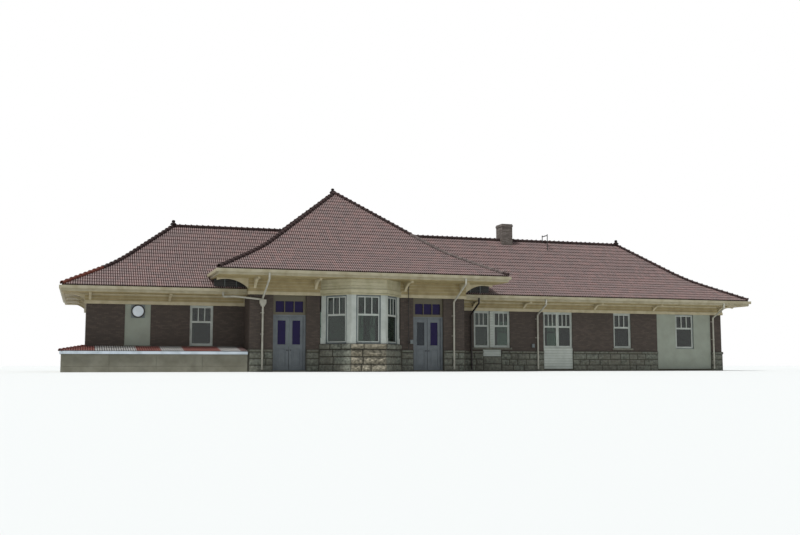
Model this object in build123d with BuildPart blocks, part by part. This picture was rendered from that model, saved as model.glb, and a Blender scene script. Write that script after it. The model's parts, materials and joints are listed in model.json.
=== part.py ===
"""Single-storey railway station: long hipped main block and a taller central pavilion.

Frame: origin on the ground under the middle of the building, +X along the facade to
the right, the facade faces -Y, +Z up. All lengths are in millimetres.
"""
from build123d import *
import math
import os

# Main block
main_length = 34600
main_width = 8400
wall_thickness = 330
stone_proud = 30
belt_proud = 60
belt_height = 130
wainscot_top = 1060
brick_top = 3150
window_sill = 1230
sill_height = 100
sill_proud = 60
sill_lap = 80
floor_top = 50

# Pavilion
pavilion_x = -4575
pavilion_width = 10850
pavilion_projection = 1600
pavilion_brick_top = 3630

# Roofs
main_eave = 1200
pavilion_eave = 1800
gutter_width = 120
soffit_board = 25
roof_depth = 280
eave_pitch = 27.5
flare_run = 2400
flare_radius = 8000
flare_steps = 4
main_soffit = 3640
main_ridge = 7500
pavilion_soffit = 4400
pavilion_peak = 9660

# Ridge and hip tiles
cap_width = 240
cap_height = 100
finial_foot_radius = 170
finial_neck_radius = 110
finial_foot_height = 110
finial_ball_radius = 95

# Eave gutter and fascia board
fascia_height = 260
fascia_thickness = 25
trough_height = 150
trough_wall = 6
trough_corner = 30

# Friezes
frieze_proud = 50
frieze_moulding = 110
frieze_moulding_height = 90
architrave_proud = 90
architrave_height = 150

# Windows
window_recess = 100
frame_depth = 90
frame_face = 70
sash_bar = 45
sash_depth = 30
glass_thickness = 6
meeting_rail_share = 0.6

# Bay window
bay_width = 4050
bay_front = 1720
bay_depth = 1390
bay_batter = 3.0
bay_sill_top = 1320
bay_sill_lap = 60
bay_wall = 200
bay_set_back = 40
bay_window_width = 1220
bay_head = pavilion_brick_top
bay_crown_height = 260
bay_crown_lap = 70

# Doors
door_offset = 3505
door_width = 1600
door_head = pavilion_brick_top
transom_head = 3390
transom_muntin = 40
door_recess = 120
door_frame_depth = 120
door_frame_face = 90
door_stop = 18
leaf_thickness = 45
leaf_height = 2600
leaf_gap = 10
leaf_floor_gap = 12
leaf_stile = 135
leaf_glass_sill = 1270
leaf_glass_head = 2450
lock_rail = 170
panel_depth = 12
transom_bar = 110
hinge_radius = 8
hinge_length = 50
hinge_plate = 4
hinge_flap = 30
hinge_play = 0.3
hinge_heights = (350, 1350, 2350)

# Chimney and roof mast
chimney_x = 5725
chimney_length = 650
chimney_depth = 840
chimney_rise = 940
chimney_cap_height = 160
chimney_cap_lap = 25
flue_size = 260
mast_x = 8120
mast_places = (-100, -750)
mast_rise = 400
mast_radius = 24

# Ledge along the foot of the left wing
ledge_depth = 1600
ledge_end_lap = 1000
ledge_back_height = 1180
ledge_front_height = 960
ledge_roof_depth = 100
ledge_lap = 60
ledge_wall = 250

# Eave brackets
middle_bracket_places = (-13550, 2000, 4900, 9150, 12850)
bracket_end_inset = 150
main_bracket_reach = 900
bracket_thickness = 120
pavilion_bracket_inset = 225
pavilion_middle_bracket = 2270
pavilion_bracket_reach = 1100
pavilion_bracket_drop = 500
corner_brace_reach = 1500
corner_brace_drop = 500

# Pipes
pipe_radius = 45
pipe_bend = 120
pipe_stand_off = 62
pipe_inset = 600
pipe_drop = 160
pipe_foot = 100
wing_pipe_places = (1850, 5670)
hopper_z = 3220
hopper_height = 330
hopper_width = 300
hopper_foot_width = 120
hopper_depth = 190
branch_start_x = -11190
branch_turn_x = -10750
branch_turn_z = 3520
branch_end_z = 3390

# Blank round plate
disc_radius = 310
disc_z = 2830
disc_mount_thickness = 40
disc_thickness = 40
disc_rim = 50

half_length = main_length / 2
half_width = main_width / 2
bay_half = bay_width / 2
pavilion_half = pavilion_width / 2
pavilion_front = half_width + pavilion_projection
pavilion_left = pavilion_x - pavilion_half
pavilion_right = pavilion_x + pavilion_half
inner_x = half_length - wall_thickness
inner_y = half_width - wall_thickness
hall_x = pavilion_half - wall_thickness
hall_y = pavilion_front - wall_thickness
lap_x = half_length + frieze_proud
lap_y = half_width + frieze_proud
moulding_foot = main_soffit - frieze_moulding_height
chimney_top = main_ridge + chimney_rise
mast_top = main_ridge + mast_rise
end_bracket_x = half_length - bracket_end_inset
end_bracket_y = half_width - bracket_end_inset
main_bracket_drop = main_soffit - brick_top - architrave_height
soffit_top = main_soffit + soffit_board
pavilion_soffit_top = pavilion_soffit + soffit_board
main_deck_x = half_length + main_eave - gutter_width
main_deck_y = half_width + main_eave - gutter_width
pavilion_deck_x = pavilion_half + pavilion_eave - gutter_width
pavilion_deck_y = pavilion_front + pavilion_eave - gutter_width
ridge_half = main_deck_x - main_deck_y
flare_rise = flare_run * math.tan(math.radians(eave_pitch))
gutter_y = main_deck_y + gutter_width
tall = 2 * pavilion_peak

# Elevation planes: local x runs along the wall, local y is height, normal points out
front_plane = Plane(origin=(0, -half_width, 0), x_dir=(1, 0, 0), z_dir=(0, -1, 0))
back_plane = Plane(origin=(0, half_width, 0), x_dir=(-1, 0, 0), z_dir=(0, 1, 0))
left_plane = Plane(origin=(-half_length, 0, 0), x_dir=(0, -1, 0), z_dir=(-1, 0, 0))
right_plane = Plane(origin=(half_length, 0, 0), x_dir=(0, 1, 0), z_dir=(1, 0, 0))
pavilion_front_plane = Plane(
    origin=(pavilion_x, -pavilion_front, 0), x_dir=(1, 0, 0), z_dir=(0, -1, 0)
)
pavilion_back_plane = Plane(
    origin=(pavilion_x, pavilion_front, 0), x_dir=(-1, 0, 0), z_dir=(0, 1, 0)
)

# Windows and panels as (centre along the wall, width)
sash_width = 1000
left_windows = [(-12035, 1100)]
blind_panel = (-14985, 1170)
office_bay = (3065, 2070)
office_windows = [(2485, 910), (3620, 960)]
office_patch = (3060, 1040)
office_patch_foot = 760
pair_window = (6930, 1740)
single_window = (10875, 1100)
stucco_bay = (14840, 3520)
stucco_window = (14890, 1190)
right_windows = [*office_windows, pair_window, single_window, stucco_window]
end_windows = [(-2000, 1100), (2000, 1100)]
back_left_windows = [(12035, 1100), (14985, 1100)]
back_right_windows = [(-3065, 1100), (-6930, 1740), (-10875, 1100), (-14890, 1100)]
pavilion_back_windows = [(-3505, 1600), (-1170, 1100), (1170, 1100), (3505, 1600)]
infill_recess = 30
infill_thickness = 200
low_infill_foot = 100


def block(x0, x1, y0, y1, z0, z1, mode=Mode.ADD):
    """Add or cut the block between two corners in the open part."""
    with Locations(((x0 + x1) / 2, (y0 + y1) / 2, (z0 + z1) / 2)):
        Box(x1 - x0, y1 - y0, z1 - z0, mode=mode)


def panel(centre, width, low, high, mode=Mode.ADD):
    """Add or cut an upright rectangle in the open sketch of an elevation."""
    with Locations((centre, (low + high) / 2)):
        Rectangle(width, high - low, mode=mode)


def flared_section(plane, half, top_half, eave_z, peak_z, base_z):
    """Cross-section of a hipped roof whose slopes flatten in a flare towards the eaves.

    The flare follows an arc in short straight steps, as its sheathing boards do.
    """
    knee = (half - flare_run, eave_z + flare_rise)
    pitch = (peak_z - knee[1]) / (knee[0] - top_half)
    with BuildLine() as slope:
        FilletPolyline(
            (half, eave_z), knee, (0, knee[1] + pitch * knee[0]), radius=flare_radius
        )
    flare = slope.edges().filter_by(GeomType.CIRCLE)[0]
    steps = sorted((flare @ (step / flare_steps) for step in range(flare_steps + 1)),
                   key=lambda point: -point.X)
    outline = [(point.X, point.Y) for point in steps]
    with BuildSketch(plane) as section:
        with BuildLine():
            Polyline(
                (0, base_z), (half, base_z), (half, eave_z), *outline,
                (0, knee[1] + pitch * knee[0]),
            )
            mirror(about=Plane.YZ)
        make_face()
    return section.sketch


def hipped_mass(centre_x, half_x, half_y, eave_z, peak_z, base_z):
    """Solid below a flared hipped roof, as the common part of its two sections."""
    slope_run = min(half_x, half_y)
    end_plane = Plane(origin=(centre_x, 0, 0), x_dir=(0, 1, 0), z_dir=(1, 0, 0))
    side_plane = Plane(origin=(centre_x, 0, 0), x_dir=(1, 0, 0), z_dir=(0, -1, 0))
    end_section = flared_section(end_plane, half_y, half_y - slope_run, eave_z, peak_z, base_z)
    side_section = flared_section(side_plane, half_x, half_x - slope_run, eave_z, peak_z, base_z)
    with BuildPart() as mass:
        extrude(end_section, amount=half_x + main_eave, both=True)
        extrude(side_section, amount=half_y + main_eave, both=True, mode=Mode.INTERSECT)
    return mass.part


def main_mass(lift, base_z):
    """Solid below the main roof's tiles, or below a surface lifted or lowered from them."""
    return hipped_mass(
        0, main_deck_x, main_deck_y,
        soffit_top + roof_depth + lift, main_ridge + lift, base_z,
    )


def pavilion_mass(lift, base_z):
    """Solid below the pavilion roof's tiles, or below a surface lifted or lowered."""
    return hipped_mass(
        pavilion_x, pavilion_deck_x, pavilion_deck_y,
        pavilion_soffit_top + roof_depth + lift, pavilion_peak + lift, base_z,
    )


def hip_strips(centre_x, half_x, half_y, width):
    """Upright strips over the four hips and the ridge of a roof, as wide as a cap tile."""
    run = min(half_x, half_y)
    with BuildPart() as strips:
        for side in (-1, 1):
            for end in (-1, 1):
                middle = (centre_x + side * (half_x - run / 2), end * (half_y - run / 2), 0)
                with Locations(Location(middle, (0, 0, 45 * side * end))):
                    Box(run * math.sqrt(2), width, 2 * tall)
        with Locations((centre_x, 0, 0)):
            Box(2 * (half_x - run) + width, 2 * (half_y - run) + width, 2 * tall)
    return strips.part


main_outside = main_mass(0, soffit_top)
main_inside = main_mass(-roof_depth, 0)
pavilion_outside = pavilion_mass(0, pavilion_soffit)
pavilion_inside = pavilion_mass(-roof_depth, 0)
main_caps = main_mass(cap_height, soffit_top)
pavilion_caps = pavilion_mass(cap_height, pavilion_soffit)


def save(piece, name):
    """Label a finished piece and write its STEP file."""
    piece.part.label = name
    export_step(piece.part, f"parts/{name}.step")


def wall(plane, left, right, top, holes, stone=None):
    """Masonry wall in the open part: brick, stone wainscot, a belt course and window sills.

    The stone covers the brick, or the given range, which then laps round its corners.
    """
    belt_foot = wainscot_top - belt_height
    layers = (
        (0, top, -wall_thickness),
        (0, belt_foot, stone_proud),
        (belt_foot, wainscot_top, belt_proud),
    )
    for low, high, depth in layers:
        edges = (left, right)
        if stone and depth > 0:
            edges = [edge + math.copysign(depth, edge) for edge in stone]
        with BuildSketch(plane) as elevation:
            panel(sum(edges) / 2, edges[1] - edges[0], low, high)
            for hole in holes:
                panel(*hole, mode=Mode.SUBTRACT)
        extrude(elevation.sketch, amount=depth)
    sills = [hole for hole in holes if hole[2] == window_sill]
    if sills:
        with BuildSketch(plane) as stones:
            for centre, width, _, _ in sills:
                panel(centre, width + 2 * sill_lap, window_sill - sill_height, window_sill)
        extrude(stones.sketch, amount=sill_proud)


def window_holes(windows, head):
    """Openings in a wall for its windows, from the sill to the head."""
    return [(centre, width, window_sill, head) for centre, width in windows]


def sash_lights(centre, width):
    """Centres and clear width of the sashes that stand side by side in one window."""
    sashes = max(1, round(width / sash_width))
    light = (width - frame_face * (sashes + 1)) / sashes
    pitch = light + frame_face
    return [centre + pitch * (i - (sashes - 1) / 2) for i in range(sashes)], light


def window_frame(plane, centre, width, sill, head):
    """Timber frame of one window: casing, mullions, meeting rail and upper glazing bars."""
    set_back = plane.offset(-window_recess)
    inner_low = sill + frame_face
    inner_high = head - frame_face
    rail = inner_low + (inner_high - inner_low) * meeting_rail_share
    centres, light = sash_lights(centre, width)
    with BuildSketch(set_back) as casing:
        panel(centre, width, sill, head)
        for x in centres:
            panel(x, light, inner_low, inner_high, mode=Mode.SUBTRACT)
    extrude(casing.sketch, amount=-frame_depth)
    with BuildSketch(set_back) as bars:
        for x in centres:
            panel(x, light, inner_low, inner_high)
            low = (inner_low + sash_bar, rail)
            panel(x, light - 2 * sash_bar, *low, mode=Mode.SUBTRACT)
            pane = (light - 4 * sash_bar) / 3
            for step in (-1, 0, 1):
                high = (rail + sash_bar, inner_high - sash_bar)
                panel(x + step * (pane + sash_bar), pane, *high, mode=Mode.SUBTRACT)
    extrude(bars.sketch, amount=-sash_depth)


def window_glass(plane, centre, width, sill, head):
    """One sheet of glass behind the bars of each sash."""
    centres, light = sash_lights(centre, width)
    with BuildSketch(plane.offset(-window_recess - sash_depth)) as sheets:
        for x in centres:
            panel(x, light, sill + frame_face, head - frame_face)
    extrude(sheets.sketch, amount=-glass_thickness)


def window_row(maker, plane, windows, head):
    """Make a frame or a sheet of glass for each window in a wall."""
    for centre, width in windows:
        maker(plane, centre, width, window_sill, head)


def gutter_section(plane):
    """Fascia board with an open moulded trough, drawn outwards from the roof's edge."""
    low = fascia_height - trough_height
    lip = low + trough_corner
    inner = gutter_width - trough_wall
    bend = gutter_width - trough_corner
    with BuildSketch(plane) as section:
        with BuildLine():
            Polyline(
                (inner, lip), (inner, fascia_height), (gutter_width, fascia_height),
                (gutter_width, lip),
            )
            RadiusArc((gutter_width, lip), (bend, low), trough_corner)
            Polyline(
                (bend, low), (fascia_thickness, low), (fascia_thickness, 0), (0, 0),
                (0, fascia_height), (fascia_thickness, fascia_height),
                (fascia_thickness, low + trough_wall), (bend, low + trough_wall),
            )
            RadiusArc((bend, low + trough_wall), (inner, lip), trough_wall - trough_corner)
        make_face()
    return section.sketch


def mitred_gutter(points, outward_x, outward_y):
    """Gutter along an eave's corner points; outward is the direction at its start."""
    plane = Plane(
        origin=points[0], x_dir=(outward_x, outward_y, 0), z_dir=(outward_y, -outward_x, 0)
    )
    section = gutter_section(plane)
    with BuildPart() as gutter:
        with BuildLine() as path:
            Polyline(*points)
        sweep(section, path=path.line, transition=Transition.RIGHT)
    return gutter.part


def bracket(x, y, angle, reach, top, drop, thickness):
    """Curved bracket from a wall point, reaching out under the soffit at an angle."""
    turn = math.radians(angle)
    plane = Plane(
        origin=(x, y, 0), x_dir=(math.cos(turn), math.sin(turn), 0),
        z_dir=(math.sin(turn), -math.cos(turn), 0),
    )
    with BuildSketch(plane) as side:
        with BuildLine():
            Polyline((0, top - drop), (0, top), (reach, top), (reach, top - drop / 4))
            RadiusArc((reach, top - drop / 4), (0, top - drop), -reach)
        make_face()
    extrude(side.sketch, amount=thickness / 2, both=True)


def pipe(points, radius):
    """Round pipe along a route with bent corners."""
    with BuildLine() as route:
        FilletPolyline(*points, radius=pipe_bend)
    ends = Plane(origin=points[0], z_dir=route.line % 0)
    with BuildSketch(ends) as section:
        Circle(radius)
    sweep(section.sketch, path=route.line)


def bay_plan(height, grow):
    """Three-sided plan of the bay, grown outwards and run back into the pavilion."""
    with BuildSketch(Plane(origin=(pavilion_x, -pavilion_front, height))) as plan:
        with BuildLine():
            Polyline(
                (-bay_half, wall_thickness), (-bay_half, 0), (-bay_front / 2, -bay_depth),
                (bay_front / 2, -bay_depth), (bay_half, 0), (bay_half, wall_thickness),
                close=True,
            )
        make_face()
        if grow:
            offset(amount=grow, kind=Kind.INTERSECTION)
    return plan.sketch


def clear_bay_back():
    """Cut away what lies behind the pavilion's front face."""
    block(
        pavilion_left, pavilion_right, -pavilion_front, 0, 0, tall, mode=Mode.SUBTRACT
    )


def bay_facets(set_back):
    """Elevation planes of the bay's left, front and right faces, set back from the plan."""
    corners = [
        (-bay_half, 0), (-bay_front / 2, -bay_depth), (bay_front / 2, -bay_depth), (bay_half, 0),
    ]
    planes = []
    for start, end in zip(corners, corners[1:]):
        run_x = end[0] - start[0]
        run_y = end[1] - start[1]
        middle = (
            pavilion_x + (start[0] + end[0]) / 2,
            -pavilion_front + (start[1] + end[1]) / 2, 0,
        )
        face = Plane(origin=middle, x_dir=(run_x, run_y, 0), z_dir=(run_y, -run_x, 0))
        planes.append(face.offset(-set_back))
    return planes


os.makedirs("parts", exist_ok=True)

# Floor slab inside the walls and in the doorways
with BuildPart() as floor:
    block(-inner_x, inner_x, -inner_y, inner_y, 0, floor_top)
    block(pavilion_x - hall_x, pavilion_x + hall_x, -hall_y, hall_y, 0, floor_top)
    for side in (-1, 1):
        door_x = pavilion_x + side * door_offset
        block(
            door_x - door_width / 2, door_x + door_width / 2,
            -pavilion_front, -hall_y, 0, floor_top,
        )
    block(
        pavilion_x - bay_half, pavilion_x + bay_half, -pavilion_front, -hall_y, 0, floor_top
    )
    extrude(bay_plan(0, -wall_thickness), amount=floor_top)
save(floor, "floor")

# Walls of the two wings
with BuildPart() as left_front_wall:
    holes = window_holes(left_windows, brick_top)
    holes.append((*blind_panel, window_sill, brick_top))
    wall(front_plane, -half_length, pavilion_left, brick_top, holes)
save(left_front_wall, "left_front_wall")

with BuildPart() as right_front_wall:
    holes = window_holes([office_bay, single_window], brick_top)
    holes.append((*office_patch, office_patch_foot, window_sill))
    holes.append((*pair_window, low_infill_foot, brick_top))
    holes.append((*stucco_bay, low_infill_foot, brick_top))
    wall(front_plane, pavilion_right, half_length, brick_top, holes)
save(right_front_wall, "right_front_wall")

with BuildPart() as end_walls:
    for plane in (left_plane, right_plane):
        end_holes = window_holes(end_windows, brick_top)
        wall(plane, -inner_y, inner_y, brick_top, end_holes, (-half_width, half_width))
save(end_walls, "end_walls")

with BuildPart() as back_walls:
    left_holes = window_holes(back_left_windows, brick_top)
    wall(back_plane, -pavilion_left, half_length, brick_top, left_holes)
    right_holes = window_holes(back_right_windows, brick_top)
    wall(back_plane, -half_length, -pavilion_right, brick_top, right_holes)
save(back_walls, "back_walls")

# Stone base of the bay, battered up to a deep sill
with BuildPart() as bay_base:
    batter_run = wainscot_top * math.tan(math.radians(bay_batter))
    extrude(bay_plan(0, batter_run), amount=wainscot_top, taper=bay_batter)
    extrude(bay_plan(wainscot_top, bay_sill_lap), amount=bay_sill_top - wainscot_top)
    extrude(bay_plan(0, -wall_thickness), amount=bay_sill_top, mode=Mode.SUBTRACT)
    clear_bay_back()
save(bay_base, "bay_base")

# Pavilion walls: front piers beside the doorways and the bay, side returns, back wall
door_edges = (door_offset - door_width / 2, door_offset + door_width / 2)
with BuildPart() as pavilion_front_piers:
    for side in (-1, 1):
        inner = sorted((side * bay_half, side * door_edges[0]))
        outer = sorted((side * door_edges[1], side * pavilion_half))
        wall(pavilion_front_plane, *inner, pavilion_brick_top, [])
        wall(pavilion_front_plane, *outer, pavilion_brick_top, [])
    add(bay_base.part, mode=Mode.SUBTRACT)
save(pavilion_front_piers, "pavilion_front_piers")

with BuildPart() as pavilion_side_walls:
    for side in (-1, 1):
        plane = Plane(
            origin=(pavilion_x + side * pavilion_half, 0, 0),
            x_dir=(0, side, 0), z_dir=(side, 0, 0),
        )
        for depth in (-1, 1):
            brick = (depth * inner_y, depth * hall_y)
            stone = (depth * half_width, depth * pavilion_front)
            wall(plane, *sorted(brick), pavilion_brick_top, [], sorted(stone))
save(pavilion_side_walls, "pavilion_side_walls")

with BuildPart() as pavilion_back_wall:
    holes = window_holes(pavilion_back_windows, pavilion_brick_top)
    wall(pavilion_back_plane, -pavilion_half, pavilion_half, pavilion_brick_top, holes)
save(pavilion_back_wall, "pavilion_back_wall")

# Friezes: the moulded timber band that carries the roofs
with BuildPart() as main_frieze:
    block(-half_length, half_length, -half_width, half_width, brick_top, tall)
    for proud, low, high in (
        (frieze_proud, brick_top, main_soffit),
        (architrave_proud, brick_top, brick_top + architrave_height),
        (frieze_moulding, moulding_foot, main_soffit),
    ):
        block(
            -half_length - proud, half_length + proud,
            -half_width - proud, half_width + proud, low, high,
        )
    block(-inner_x, inner_x, -inner_y, inner_y, 0, tall, mode=Mode.SUBTRACT)
    block(
        pavilion_left, pavilion_right, -pavilion_front, pavilion_front, 0, tall,
        mode=Mode.SUBTRACT,
    )
    add(main_inside, mode=Mode.INTERSECT)
    add(pavilion_outside, mode=Mode.SUBTRACT)
save(main_frieze, "main_frieze")

with BuildPart() as pavilion_frieze:
    add(pavilion_inside)
    block(
        pavilion_left, pavilion_right, -pavilion_front, -inner_y, pavilion_brick_top, tall,
        mode=Mode.INTERSECT,
    )
    block(
        pavilion_x - hall_x, pavilion_x + hall_x, -hall_y, 0, 0, tall, mode=Mode.SUBTRACT
    )
    block(
        pavilion_left, pavilion_right, -pavilion_front - frieze_proud, -pavilion_front,
        pavilion_brick_top, pavilion_soffit,
    )
    for side in (-1, 1):
        bay_edge = pavilion_x + side * bay_half
        wall_face = pavilion_x + side * pavilion_half
        for proud, band_top in (
            (frieze_proud, pavilion_soffit),
            (architrave_proud, pavilion_brick_top + architrave_height),
        ):
            corner = wall_face + side * proud
            block(
                *sorted((wall_face, corner)), -pavilion_front - proud, -gutter_y,
                pavilion_brick_top, band_top,
            )
            block(
                *sorted((bay_edge, corner)), -pavilion_front - proud, -pavilion_front,
                pavilion_brick_top, band_top,
            )
    mirror(about=Plane.XZ)
save(pavilion_frieze, "pavilion_frieze")

# Roof shells: each meets the other along its valleys
with BuildPart() as main_roofs:
    add(main_outside)
    add(main_inside, mode=Mode.SUBTRACT)
    add(pavilion_outside, mode=Mode.SUBTRACT)
    block(
        pavilion_left, pavilion_right, -pavilion_front, pavilion_front, 0, pavilion_soffit,
        mode=Mode.SUBTRACT,
    )
main_shells = sorted(main_roofs.part.solids(), key=lambda solid: solid.center().X)

with BuildPart() as left_wing_roof:
    add(main_shells[0])
save(left_wing_roof, "left_wing_roof")

with BuildPart() as right_wing_roof:
    add(main_shells[-1])
save(right_wing_roof, "right_wing_roof")

with BuildPart() as pavilion_roof:
    add(pavilion_outside)
    block(
        pavilion_left - pavilion_eave, pavilion_right + pavilion_eave,
        -pavilion_deck_y, pavilion_deck_y, 0, pavilion_soffit_top, mode=Mode.SUBTRACT,
    )
    add(pavilion_inside, mode=Mode.SUBTRACT)
    add(main_inside, mode=Mode.SUBTRACT)
save(pavilion_roof, "pavilion_roof")

# Boarded soffits
with BuildPart() as soffits:
    block(-main_deck_x, main_deck_x, -main_deck_y, main_deck_y, main_soffit, soffit_top)
    block(-half_length, half_length, -half_width, half_width, 0, tall, mode=Mode.SUBTRACT)
    block(
        pavilion_left, pavilion_right, -pavilion_front, pavilion_front, 0, tall,
        mode=Mode.SUBTRACT,
    )
save(soffits, "main_soffits")

with BuildPart() as pavilion_soffits:
    block(
        pavilion_x - pavilion_deck_x, pavilion_x + pavilion_deck_x,
        -pavilion_deck_y, pavilion_deck_y, pavilion_soffit, pavilion_soffit_top,
    )
    block(
        pavilion_left, pavilion_right, -pavilion_front, pavilion_front, 0, tall,
        mode=Mode.SUBTRACT,
    )
    add(main_outside, mode=Mode.SUBTRACT)
save(pavilion_soffits, "pavilion_soffits")

# Chimney astride the ridge
with BuildPart() as chimney_shaft:
    block(
        chimney_x - chimney_length / 2, chimney_x + chimney_length / 2,
        -chimney_depth / 2, chimney_depth / 2, soffit_top, chimney_top,
    )

with BuildPart() as chimney:
    add(chimney_shaft.part)
    block(
        chimney_x - chimney_length / 2 - chimney_cap_lap,
        chimney_x + chimney_length / 2 + chimney_cap_lap,
        -chimney_depth / 2 - chimney_cap_lap, chimney_depth / 2 + chimney_cap_lap,
        chimney_top - chimney_cap_height, chimney_top - chimney_cap_height / 3,
    )
    for side in (-1, 1):
        flue_y = side * chimney_depth / 4
        block(
            chimney_x - flue_size / 2, chimney_x + flue_size / 2,
            flue_y - flue_size / 2, flue_y + flue_size / 2,
            chimney_top - chimney_cap_height, chimney_top, mode=Mode.SUBTRACT,
        )
    add(main_outside, mode=Mode.SUBTRACT)
save(chimney, "chimney")

# Cap tiles along the ridges and hips
with BuildPart() as ridge_caps:
    add(main_caps)
    add(main_outside, mode=Mode.SUBTRACT)
    add(hip_strips(0, main_deck_x, main_deck_y, cap_width), mode=Mode.INTERSECT)
    block(
        pavilion_left, pavilion_right, -pavilion_front, pavilion_front, 0, pavilion_soffit,
        mode=Mode.SUBTRACT,
    )
    add(pavilion_outside, mode=Mode.SUBTRACT)
    add(chimney_shaft.part, mode=Mode.SUBTRACT)
save(ridge_caps, "main_ridge_tiles")

with BuildPart() as pavilion_hip_caps:
    add(pavilion_caps)
    add(pavilion_outside, mode=Mode.SUBTRACT)
    add(
        hip_strips(pavilion_x, pavilion_deck_x, pavilion_deck_y, cap_width),
        mode=Mode.INTERSECT,
    )
    block(
        -main_deck_x, main_deck_x, -main_deck_y, main_deck_y, 0, pavilion_soffit_top,
        mode=Mode.SUBTRACT,
    )
save(pavilion_hip_caps, "pavilion_hip_tiles")

# Finials on the ridge ends and the pavilion's peak
with BuildPart() as finials:
    seats = [
        (-ridge_half, 0, main_ridge + cap_height), (ridge_half, 0, main_ridge + cap_height),
        (pavilion_x, 0, pavilion_peak + cap_height),
    ]
    upright = (Align.CENTER, Align.CENTER, Align.MIN)
    with Locations(*seats):
        Cone(finial_foot_radius, finial_neck_radius, finial_foot_height, align=upright)
        with Locations((0, 0, finial_foot_height + finial_ball_radius / 2)):
            Sphere(finial_ball_radius)
save(finials, "finials")

# Service mast: two short posts and a crossbar, from the ridge forwards
with BuildPart() as roof_mast:
    for y in mast_places:
        with Locations((mast_x, y, (soffit_top + mast_top) / 2)):
            Cylinder(mast_radius, mast_top - soffit_top)
    block(
        mast_x - mast_radius, mast_x + mast_radius, min(mast_places), max(mast_places),
        mast_top - 4 * mast_radius, mast_top - 2 * mast_radius,
    )
    add(main_outside, mode=Mode.SUBTRACT)
    add(ridge_caps.part, mode=Mode.SUBTRACT)
save(roof_mast, "roof_mast")

# Gutters with their fascia boards
with BuildPart() as main_gutters:
    for start, end in ((pavilion_left, -main_deck_x), (pavilion_right, main_deck_x)):
        corners = [
            (start, -main_deck_y, main_soffit), (end, -main_deck_y, main_soffit),
            (end, main_deck_y, main_soffit), (start, main_deck_y, main_soffit),
        ]
        add(mitred_gutter(corners, 0, -1))
save(main_gutters, "main_gutters")

with BuildPart() as pavilion_gutters:
    for side in (-1, 1):
        west = (pavilion_x - pavilion_deck_x, 0, pavilion_soffit)
        east = (pavilion_x + pavilion_deck_x, 0, pavilion_soffit)
        west_corner = (west[0], side * pavilion_deck_y, pavilion_soffit)
        east_corner = (east[0], side * pavilion_deck_y, pavilion_soffit)
        add(mitred_gutter([west, west_corner, east_corner, east], -1, 0))
    add(main_outside, mode=Mode.SUBTRACT)
save(pavilion_gutters, "pavilion_gutters")

# Eave brackets
with BuildPart() as main_brackets:
    sizes = (main_bracket_reach, main_soffit, main_bracket_drop, bracket_thickness)
    for side in (-1, 1):
        for x in (-end_bracket_x, *middle_bracket_places, end_bracket_x):
            bracket(x, side * lap_y, side * 90, *sizes)
        for share in (-1, -1 / 3, 1 / 3, 1):
            bracket(side * lap_x, share * end_bracket_y, 90 - side * 90, *sizes)
    add(main_frieze.part, mode=Mode.SUBTRACT)
save(main_brackets, "main_brackets")

# Pavilion brackets, with a longer brace sideways at each corner
with BuildPart() as pavilion_brackets:
    outer_bracket = pavilion_half - pavilion_bracket_inset
    brace_y = pavilion_front - bracket_thickness / 2
    for side in (-1, 1):
        for offset_x in (
            -outer_bracket, -pavilion_middle_bracket, pavilion_middle_bracket, outer_bracket,
        ):
            bracket(pavilion_x + offset_x, side * (pavilion_front + frieze_proud), side * 90,
                    pavilion_bracket_reach, pavilion_soffit, pavilion_bracket_drop,
                    bracket_thickness)
        for end in (-1, 1):
            bracket(pavilion_x + side * (pavilion_half + frieze_proud), end * brace_y,
                    90 - side * 90, corner_brace_reach, pavilion_soffit, corner_brace_drop,
                    bracket_thickness)
save(pavilion_brackets, "pavilion_brackets")

# Window frames and glass of the wings, the ends and the back
window_walls = (
    ("front", ((front_plane, left_windows + right_windows, brick_top),)),
    (
        "rear",
        (
            (left_plane, end_windows, brick_top),
            (right_plane, end_windows, brick_top),
            (back_plane, back_left_windows + back_right_windows, brick_top),
            (pavilion_back_plane, pavilion_back_windows, pavilion_brick_top),
        ),
    ),
)
for place, rows in window_walls:
    with BuildPart() as frames:
        for plane, windows, head in rows:
            window_row(window_frame, plane, windows, head)
    save(frames, f"{place}_window_frames")
    with BuildPart() as glass:
        for plane, windows, head in rows:
            window_row(window_glass, plane, windows, head)
    save(glass, f"{place}_window_glass")

# Panels that close former openings in the front wall
with BuildPart() as infill_panels:
    with BuildSketch(front_plane.offset(-infill_recess)) as closed:
        panel(*blind_panel, window_sill, brick_top)
        panel(*office_bay, window_sill, brick_top)
        panel(*office_patch, office_patch_foot, window_sill)
        panel(*stucco_bay, low_infill_foot, brick_top)
        for window in (*office_windows, stucco_window):
            panel(*window, window_sill, brick_top, mode=Mode.SUBTRACT)
        panel(*pair_window, low_infill_foot, window_sill)
    extrude(closed.sketch, amount=-infill_thickness)
save(infill_panels, "infill_panels")

# Blank round plate on its square mount
with BuildPart() as wall_disc:
    disc_x = blind_panel[0]
    mount_size = 2 * disc_radius
    with BuildSketch(front_plane.offset(-infill_recess)) as square:
        panel(disc_x, mount_size, disc_z - disc_radius, disc_z + disc_radius)
    extrude(square.sketch, amount=disc_mount_thickness)
    with BuildSketch(front_plane.offset(-infill_recess + disc_mount_thickness)) as plate:
        with Locations((disc_x, disc_z)):
            Circle(disc_radius)
    extrude(plate.sketch, amount=disc_thickness)
    with BuildSketch(
        front_plane.offset(-infill_recess + disc_mount_thickness + disc_thickness)
    ) as face:
        with Locations((disc_x, disc_z)):
            Circle(disc_radius - disc_rim)
    extrude(face.sketch, amount=-disc_thickness / 2, mode=Mode.SUBTRACT)
save(wall_disc, "wall_disc")

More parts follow.
